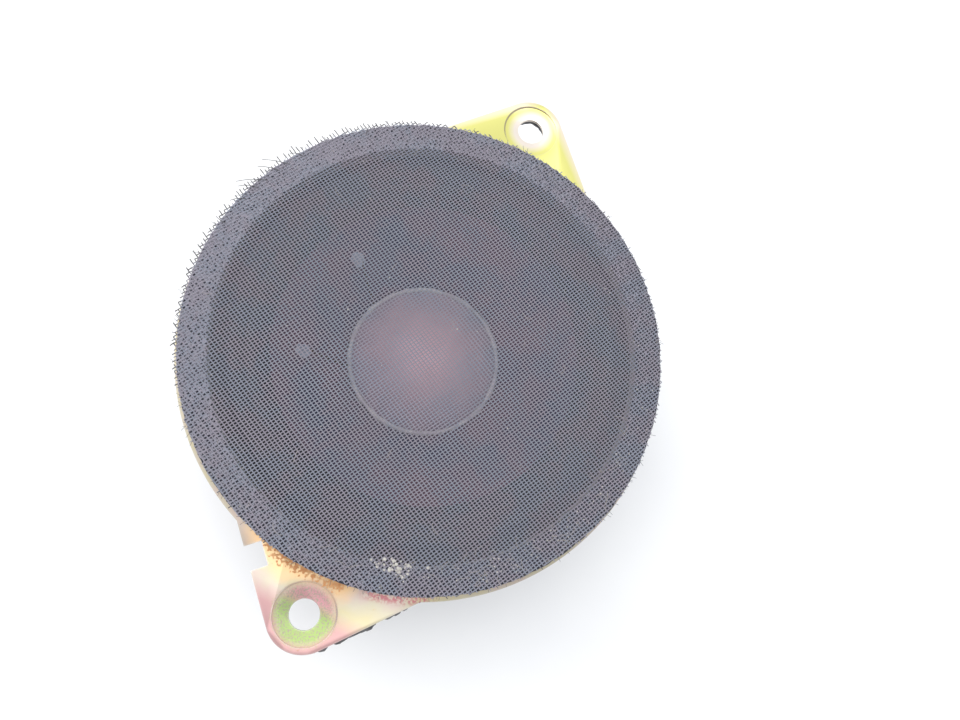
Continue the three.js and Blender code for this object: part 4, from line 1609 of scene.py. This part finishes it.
@dataclass
class Motor:
    """The magnet between its plates, with the pole piece through it, all stacked from z = 0."""

    plate_radius: float = 25.0
    back_plate: Pair = (0.0, 3.5)
    magnet_radii: Pair = (13.0, 27.5)
    magnet: Pair = (3.6, 12.4)
    magnet_chamfer: float = 0.6
    chip_size: float = 2.6
    chip_rarity: float = 0.28
    chip_gain: float = 2.5
    chip_reach: float = 2.2
    chip_depth: float = 1.4
    top_plate: Pair = (12.5, 16.3)
    gap_radius: float = 11.0
    stake_circle: float = 16.0
    stake_radius: float = 1.4
    stake_top: float = 17.45
    stake_head: Pair = (2.2, 0.62)
    spigot: Pair = (6.0, 3.6)
    pole: Pair = (9.6, 16.6)

    def disc(self, name: str, inner: float, outer: float, heights: Pair, edge: float) -> Piece:
        """Turns a flat ring with chamfered edges, all in millimetres."""
        low, high = heights
        line = [(inner, low + edge), (inner + edge, low), (outer - edge, low), (outer, low + edge),
                (outer, high - edge),
                (outer - edge, high), (inner + edge, high), (inner, high - edge)]
        return revolve(name, line, 192)

    def chipped(self) -> None:
        """Fires the ferrite ring, with small chips broken out of its edges."""
        ring = self.disc("ferrite_ring", *self.magnet_radii, self.magnet, self.magnet_chamfer)
        with editing(ring):
            bpy.ops.mesh.subdivide(number_cuts=2)
        outer, edge = self.magnet_radii[1], self.magnet_chamfer
        low, high = self.magnet

        def broken(place: Vector) -> float:
            """Returns how much is missing at a place, most at the outer corners."""
            radius, height = math.hypot(place.x, place.y) * PER_METRE, place.z * PER_METRE
            away = min(math.hypot(radius - outer, height - low), math.hypot(radius - outer, height - high))
            loss = max(noise.noise(place / mm(self.chip_size)) - self.chip_rarity, 0.0) * self.chip_gain
            return -loss * max(1.0 - away / (self.chip_reach * edge), 0.0)

        push(ring, lambda place, _: mm(self.chip_depth) * broken(place))
        soften(ring, 0, angle=25)
        finish = Finish("fired_ferrite", (0.045, 0.045, 0.048), (0.075, 0.073, 0.075), patch=7, roughness=(0.45, 0.7),
                        coarse=2.2, fine=0.2, depth=0.05, dirt_and_shade=(0.12, 0.10, 0.08), bare=(0.13, 0.13, 0.13),
                        wear_amount=0.7)
        hand_over(lay(ring, finish.material()), Body.FRAME, "ferrite", "magnet")

    def plates(self) -> None:
        """Turns both plates and the pole piece, and heads the four stakes over the basket."""
        steel = TurnedSteel("turned_zinc", (0.50, 0.50, 0.47)).material()
        back = self.disc("rear_plate", self.spigot[0] + 0.1, self.plate_radius, self.back_plate, 0.35)
        soften(back, 0.12, 2, 20)
        hand_over(lay(back, steel), Body.FRAME, "zinc_plate", "back_plate")
        top = self.disc("front_plate", self.gap_radius, self.plate_radius, self.top_plate, 0.3)
        head, rise = self.stake_head
        stakes = []
        for quarter in range(4):
            stem = [(0, self.top_plate[1] - 0.4), (self.stake_radius, self.top_plate[1] - 0.4)]
            cap = [(self.stake_radius, self.stake_top), (head, self.stake_top), (head, self.stake_top + rise * 0.45),
                   (head * 0.75, self.stake_top + rise * 0.9), (head * 0.4, self.stake_top + rise),
                   (head * 0.25, self.stake_top + rise * 0.6),
                   (0, self.stake_top + rise * 0.5)]
            stake = revolve(f"stake_{quarter}", stem + cap, 40)
            turn = math.radians(45 + 90 * quarter)
            stake.location = (mm(self.stake_circle) * math.cos(turn), mm(self.stake_circle) * math.sin(turn), 0)
            settle(stake)
            stakes.append(stake)
        top = join("front_plate", [top, *stakes])
        soften(top, 0.08, 2, 25)
        hand_over(lay(top, steel), Body.FRAME, "zinc_plate", "top_plate")
        radius, high = self.pole
        spigot, step = self.spigot
        line = [(0, 0.9), (1.1, 0.05), (1.5, 0.0), (spigot - 0.35, 0.0), (spigot, 0.35), (spigot, step),
                (radius - 0.2, step),
                (radius, step + 0.2), (radius, high - 0.5), (radius - 0.5, high), (0, high)]
        pole = revolve("pole_core", line, 128)
        soften(pole, 0.1, 2, 30)
        hand_over(lay(pole, steel), Body.FRAME, "zinc_plate", "pole_piece")

    def glue(self) -> None:
        """Squeezes a little dark adhesive out of both joints of the magnet."""
        finish = Finish("dark_adhesive", (0.05, 0.035, 0.025), (0.03, 0.022, 0.018), patch=4, roughness=(0.25, 0.5),
                        depth=0.06,
                        coat=0.3).material()
        for name, height, lean in (("adhesive_rear", self.magnet[0] - 0.02, -1),
                                   ("adhesive_front", self.magnet[1] + 0.02, 1)):
            inner = self.plate_radius - 0.2
            line = [(inner, height), (inner + 1.0, height), (inner + 0.85, height + lean * 0.25),
                    (inner + 0.4, height + lean * 0.6),
                    (inner, height + lean * 0.85)]
            bead = revolve(name, line, 192)
            roughen(bead, 0.25, 2.4)
            soften(bead, 0, angle=50)
            hand_over(lay(bead, finish), Body.FRAME, "lacquer")

    def build(self) -> None:
        """Stacks the whole motor."""
        self.plates()
        self.chipped()
        self.glue()


@dataclass
class RearSeal:
    """The grey foam seal behind the flange, torn and swollen where it shows past the notched ear."""

    basket: Basket
    heights: Pair = (34.6, 36.95)
    inner_radius: float = 38.7
    drawn_in: float = 0.55
    cell: float = 0.75
    pores: Pair = (0.3, 1.1)
    swelling: Pair = (0.85, 0.8)
    lump: float = 1.7

    def build(self) -> None:
        """Cuts the seal, then gives it its open cells and torn edge."""
        low, high = self.heights
        seal = self.basket.outline_plate("foam_seal", low, high, -self.drawn_in)
        carve(seal, rod("middle", (0, 0), self.inner_radius, low - DRILL_SPARE, high + DRILL_SPARE, 160))
        modify(seal, "REMESH", mode="VOXEL", voxel_size=mm(self.cell))
        ear = -self.basket.ear_offset + 4

        def torn(place: Vector) -> float:
            """Returns the share of the roughness, most past the notched ear's edge."""
            return 1.8 if place.x * PER_METRE < ear and place.y < mm(-4) else 0.8

        def swollen(place: Vector, normal: Vector) -> float:
            """Returns how far the foam stands out, on the side wall beside the notched ear only."""
            wall = abs(normal.z) < 0.5 and normal.y < -0.3
            if place.x * PER_METRE < ear + 6 and place.y < mm(-3) and wall:
                return mm(self.swelling[0] + self.swelling[1] * noise.noise(place / mm(self.lump)))
            return 0.0

        roughen(seal, *self.pores, torn)
        push(seal, swollen)
        soften(seal, 0, angle=60)
        finish = Finish("grey_foam", (0.16, 0.16, 0.165), (0.09, 0.09, 0.10), patch=1.4, roughness=(0.9, 1.0),
                        coarse=0.9, fine=0.3,
                        depth=0.25, fine_share=0.6, dirt_and_shade_amount=0.6, sheen=0.2)
        hand_over(lay(seal, finish.material()), Body.FRAME, "foam", "rear_gasket")


@dataclass
class TerminalSide:
    """The board on the basket's lug, its blades and rivets, the series capacitor and the leads to the cone."""

    diaphragm: Diaphragm
    board: tuple[Pair, Pair, Pair] = ((-10.0, 10.0), (26.8, 39.5), (20.25, 21.85))
    board_corner: float = 1.5
    blade_heights: Pair = (21.95, 22.75)
    blade_end: float = 44.0
    blade_stem: float = 1.5
    blade_shoulder: Pair = (37.2, 38.3)
    blade_nose: Pair = (0.65, 0.9)
    detent: float = 41.2
    blades: tuple[tuple[str, float, float, float], ...] = (("positive", 7.0, 4.8, 32.85),
                                                           ("negative", -7.0, 2.8, 29.4))
    tag: tuple[Pair, Pair] = ((5.5, 8.5), (26.6, 31.85))
    board_rivets: tuple[tuple[str, float], ...] = (("inner", 30.0), ("outer", 34.6))
    blade_rivets: tuple[tuple[str, float, float], ...] = (("positive", 7.0, 36.6), ("negative", -7.0, 34.6),
                                                          ("tag", 7.0, 28.2))
    can: tuple[Pair, float, float, float] = ((-9.0, 3.5), 4.0, 32.3, 15.25)
    can_leads: tuple[tuple[str, float], ...] = (("in", 34.05), ("out", 30.55))
    lead_top: float = 23.45
    solder_spots: tuple[tuple[str, Pair], ...] = (
        ("solder_in", (7.0, 34.05)), ("solder_out", (7.0, 30.55)), ("solder_negative", (-7.1, 30.6)),
        ("solder_positive", (7.2, 27.0)),
    )
    solder_size: Point = (1.15, 1.0, 0.72)
    twist: Pair = (0.21, 1.1)

    def plate(self) -> None:
        """Punches the board from laminate."""
        (left, right), (near, far), (low, high) = self.board
        corners = []
        bend = self.board_corner
        for x, y, start in ((right - bend, far - bend, 0), (left + bend, far - bend, 90),
                            (left + bend, near + bend, 180), (right - bend, near + bend, 270)):
            corners += arc((x, y), bend, start, start + 90, 6)
        board = cut_plate("laminate_board", corners, low, high)
        soften(board, 0.12, 2)
        finish = Finish("phenolic", (0.30, 0.135, 0.05), (0.23, 0.10, 0.04), patch=3, roughness=(0.4, 0.55),
                        coarse=1.5, fine=0.25,
                        depth=0.03, bare=(0.45, 0.26, 0.12), wear_amount=0.5)
        hand_over(lay(board, finish.material()), Body.FRAME, "laminate", "terminal_board")

    def rivet(self, name: str, at: Pair, shank: float, head: float, clamp: Pair, rise: float = 0.5) -> Piece:
        """Sets a tubular rivet: a domed head below, a rolled one with a hollow above."""
        low, high = clamp
        line = [(0, low - rise), (head * 0.6, low - rise * 0.85), (head, low - rise * 0.3), (head, low), (shank, low),
                (shank, high),
                (head, high), (head * 0.92, high + rise * 0.6), (head * 0.6, high + rise),
                (head * 0.38, high + rise * 0.7),
                (head * 0.34, high), (0, high - 0.05)]
        rivet = revolve(name, line, 40)
        rivet.location = (mm(at[0]), mm(at[1]), 0)
        settle(rivet)
        soften(rivet, 0.05, 1, 30)
        return rivet

    def blade(self, name: str, x: float, width: float, root: float) -> Piece:
        """Stamps a push-on blade with a bevelled nose and a detent hole."""
        low, high = self.blade_heights
        half, end, stem = width / 2, self.blade_end, self.blade_stem
        (narrow, wide), (bevel, run) = self.blade_shoulder, self.blade_nose
        right = [(stem, root), (stem, narrow), (half, wide), (half, end - run), (half - bevel, end)]
        outline = [(x + a, y) for a, y in right] + [(x - a, y) for a, y in right[::-1]]
        blade = cut_plate(name, outline, low, high)
        carve(blade,
              rod("detent", (x, self.detent), min(half * 0.38, 0.8), low - DRILL_SPARE, high + DRILL_SPARE, 32))
        soften(blade, 0.13, 2)
        return blade

    def bead(self, name: str, at: Point, size: Point) -> Piece:
        """Lets a lump of solder set, with its middle and half sizes in millimetres."""
        deselect()
        bpy.ops.mesh.primitive_uv_sphere_add(segments=28, ring_count=14, radius=mm(1), location=[mm(c) for c in at],
                                             scale=size)
        bead = named(name)
        settle(bead)
        roughen(bead, 0.22, 1.1)
        soften(bead, 0, angle=80)
        return bead

    def metalwork(self) -> None:
        """Fits the blades, the tag, every rivet and the solder."""
        tin = Finish("tinned_brass", (0.60, 0.59, 0.55), (0.47, 0.46, 0.43), patch=3, roughness=(0.28, 0.45),
                     metallic=0.95, depth=0.02,
                     dirt_and_shade_amount=0.6, bare=(0.62, 0.5, 0.28), wear_amount=0.35).material()
        zinc = TurnedSteel("rivet_zinc", (0.55, 0.55, 0.52), 0.2).material()
        for name, x, width, root in self.blades:
            blade = lay(self.blade(f"blade_{name}", x, width, root), tin)
            hand_over(blade, Body.FRAME, "tin", f"terminal_{name}")
        (left, right), (near, far) = self.tag
        outline = [(left, far), *arc(((left + right) / 2, near + 1.5), 1.5, 180, 360, 14), (right, far)]
        tag = cut_plate("solder_tag", outline, *self.blade_heights)
        soften(tag, 0.12, 2)
        hand_over(lay(tag, tin), Body.FRAME, "tin", "lead_tag")
        for name, y in self.board_rivets:
            rivet = self.rivet(f"lug_rivet_{name}", (0, y), 1.4, 2.1, (20.15, 23.15))
            hand_over(lay(rivet, zinc), Body.FRAME, "zinc_plate", f"board_rivet_{name}")
        for name, x, y in self.blade_rivets:
            rivet = self.rivet(f"blade_rivet_{name}", (x, y), 0.75, 1.3, (20.15, 22.85), 0.35)
            hand_over(lay(rivet, tin), Body.FRAME, "tin", f"terminal_rivet_{name}")
        solder = Finish("solder", (0.62, 0.62, 0.62), (0.48, 0.48, 0.49), patch=1.5, roughness=(0.18, 0.4),
                        metallic=1.0, depth=0.03,
                        dirt_and_shade=(0.12, 0.07, 0.02), dirt_and_shade_amount=0.8).material()
        top = self.blade_heights[1]
        for name, (x, y) in self.solder_spots:
            bead = self.bead(name, (x, y, top + 0.3), self.solder_size)
            hand_over(lay(bead, solder), Body.FRAME, "tin")

    def capacitor(self) -> None:
        """Shrinks the sleeve on the capacitor's can, closes its ends and bends its leads up to the board."""
        (left, right), radius, y, z = self.can
        half = (right - left) / 2
        sleeve = [(radius - 0.9, -half + 0.1), (radius - 0.35, -half), (radius, -half + 0.4), (radius, half - 2.0),
                  (radius - 0.3, half - 1.6),
                  (radius - 0.3, half - 1.3), (radius, half - 0.9), (radius, half - 0.4), (radius - 0.35, half),
                  (radius - 0.9, half - 0.1)]
        can = [(0, -half + 0.25), (radius - 0.9, -half + 0.25), (radius - 0.75, -half + 0.6),
               (radius - 0.75, half - 0.6),
               (radius - 0.9, half - 0.3), (0, half - 0.3)]
        blue = Finish("blue_sleeve", (0.02, 0.045, 0.13), (0.015, 0.035, 0.10), patch=5, roughness=(0.25, 0.4),
                      coarse=3, depth=0.03, coat=0.3)
        metal = Finish("can_aluminium", (0.62, 0.62, 0.63), (0.5, 0.5, 0.52), roughness=(0.3, 0.45), metallic=1.0)
        for name, line, finish, slot, nodes in (
            ("capacitor_sleeve", rounded([*sleeve, sleeve[0]], 0.25, 3)[:-1], blue, "sleeve", ("capacitor",)),
            ("capacitor_can", can, metal, "aluminium", ())):
            part = revolve(name, line, 72)
            part.rotation_euler.y = math.pi / 2
            part.location = (mm((left + right) / 2), mm(y), mm(z))
            settle(part)
            soften(part, 0, angle=40)
            hand_over(lay(part, finish.material()), Body.FRAME, slot, *nodes)
        tin = Finish("tinned_wire", (0.62, 0.61, 0.58), (0.5, 0.5, 0.48), roughness=(0.25, 0.4),
                     metallic=1.0).material()
        for name, lead_y in self.can_leads:
            run = [(right - 0.6, lead_y, z), (5.6, lead_y, z), (7.0, lead_y, z + 0.1), (7.0, lead_y, z + 1.6),
                   (7.0, lead_y, 20.0),
                   (7.0, lead_y, self.lead_top)]
            lead = lay(wires(f"can_lead_{name}", [run], 0.3, 12, 8), tin)
            hand_over(lead, Body.FRAME, "tin", f"capacitor_lead_{name}")

    def tinsel(self) -> None:
        """Twists the two flexible leads from the terminals to the dabs."""
        braid = Finish("tinsel_copper", (0.45, 0.22, 0.10), (0.30, 0.14, 0.07), patch=0.8, roughness=(0.3, 0.5),
                       metallic=0.8, depth=0.02)
        finish = braid.material()
        off, pitch = self.twist
        for (pole, degrees), start, slack in zip(
            self.diaphragm.dab_angles,
            ((7.4, 26.9, self.lead_top), (-7.2, 30.2, self.lead_top)),
            ((9.2, 29.2, 26.35), (-9.0, 29.2, 26.35)),
        ):
            radius = self.diaphragm.dab_radius
            drop, end = self.diaphragm.on_cone(radius, degrees, -3.4), self.diaphragm.on_cone(radius, degrees, -1.05)
            middle = flowing([start, slack, drop, end], 28)
            strands = []
            for strand in range(3):
                run = []
                for i, place in enumerate(middle):
                    turn = i * pitch + strand * math.tau / 3
                    run.append((place[0] + off * math.cos(turn), place[1] + off * math.sin(turn), place[2]))
                strands.append(run)
            lead = lay(wires(f"tinsel_{pole}", strands, 0.2, 8, 3), finish)
            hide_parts(f"tinsel_lead_{pole}")
            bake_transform(lead)
            report(lead)

    def build(self) -> None:
        """Builds the whole terminal side."""
        self.plate()
        self.metalwork()
        self.capacitor()
        self.tinsel()


@dataclass(frozen=True)
class Lamp:
    """A square soft light, with its place and size in millimetres and its power in watts."""

    name: str
    at: Point
    size: float
    power: float
    colour: Colour = (1, 1, 1)

    def hang(self, target: Vector) -> None:
        """Hangs the light, turned to a target in metres."""
        data = bpy.data.lights.new(self.name, "AREA")
        data.shape, data.size, data.energy, data.color = "SQUARE", mm(self.size), self.power, self.colour
        lamp = bpy.data.objects.new(self.name, data)
        lamp.location = [mm(c) for c in self.at]
        lamp.rotation_euler = (target - lamp.location).to_track_quat("-Z", "Y").to_euler()
        bpy.context.collection.objects.link(lamp)


@dataclass
class Studio:
    """The pale floor, the soft lights and the camera."""

    focal_length: float = 30.0
    sensor_width: float = 36.0
    eye: Point = (-38.1, -0.9, 182.4)
    forward: Point = (0.2707, -0.0576, -0.9609)
    upward: Point = (0.8787, 0.4225, 0.2222)
    floor_size: float = 3000.0
    surround: Colour = (0.93, 0.96, 1.0)
    surround_strength: float = 0.85
    lit_height: float = 30.0
    lamps: tuple[Lamp, ...] = (
        Lamp("window_light", (160, 420, 430), 420, 1.4, (1.0, 0.98, 0.96)),
        Lamp("ceiling_light", (20, 60, 640), 520, 2.1),
    )

    def floor(self) -> None:
        """Lays a wide pale floor that the magnet stands on."""
        deselect()
        bpy.ops.mesh.primitive_grid_add(x_subdivisions=24, y_subdivisions=24, size=mm(self.floor_size))
        floor = named("floor")
        finish = Finish("pale_board", (0.9, 0.9, 0.9), (0.86, 0.86, 0.87), patch=60, roughness=(0.75, 0.85),
                        depth=0.01, dirt_and_shade_amount=0.0)
        lay(floor, finish.material())

    def lights(self) -> None:
        """Hangs the lights and a bright, even surround."""
        world = bpy.data.worlds.new("surround")
        bpy.context.scene.world = world
        world.use_nodes = True
        back = world.node_tree.nodes["Background"]
        back.inputs["Color"].default_value = (*self.surround, 1.0)
        back.inputs["Strength"].default_value = self.surround_strength
        for lamp in self.lamps:
            lamp.hang(Vector((0, 0, mm(self.lit_height))))
        bpy.context.scene.view_settings.view_transform = "Standard"
        bpy.context.scene.view_settings.look = "None"

    def camera(self) -> None:
        """Sets the camera over the cloth, a little to the notched ear's side."""
        data = bpy.data.cameras.new("camera")
        data.lens, data.sensor_width, data.clip_start = self.focal_length, self.sensor_width, mm(10)
        camera = bpy.data.objects.new("camera", data)
        ahead = Vector(self.forward).normalized()
        right = ahead.cross(Vector(self.upward)).normalized()
        turn = Matrix((right, right.cross(ahead), -ahead)).transposed().to_4x4()
        camera.matrix_world = Matrix.Translation([mm(c) for c in self.eye]) @ turn
        bpy.context.collection.objects.link(camera)
        bpy.context.scene.camera = camera

    def build(self) -> None:
        """Sets up the whole studio."""
        self.camera()
        self.floor()
        self.lights()


def main() -> None:
    """Builds the studio and every sub-assembly in order."""
    logging.basicConfig(level=logging.INFO, format="%(name)s %(message)s")
    Effects.build()
    Studio().build()
    basket = Basket()
    basket.build()
    diaphragm = Diaphragm()
    diaphragm.build()
    Suspension().build()
    Motor().build()
    RearSeal(basket).build()
    TerminalSide(diaphragm).build()
    Front().build()


if __name__ == "__main__":
    main()
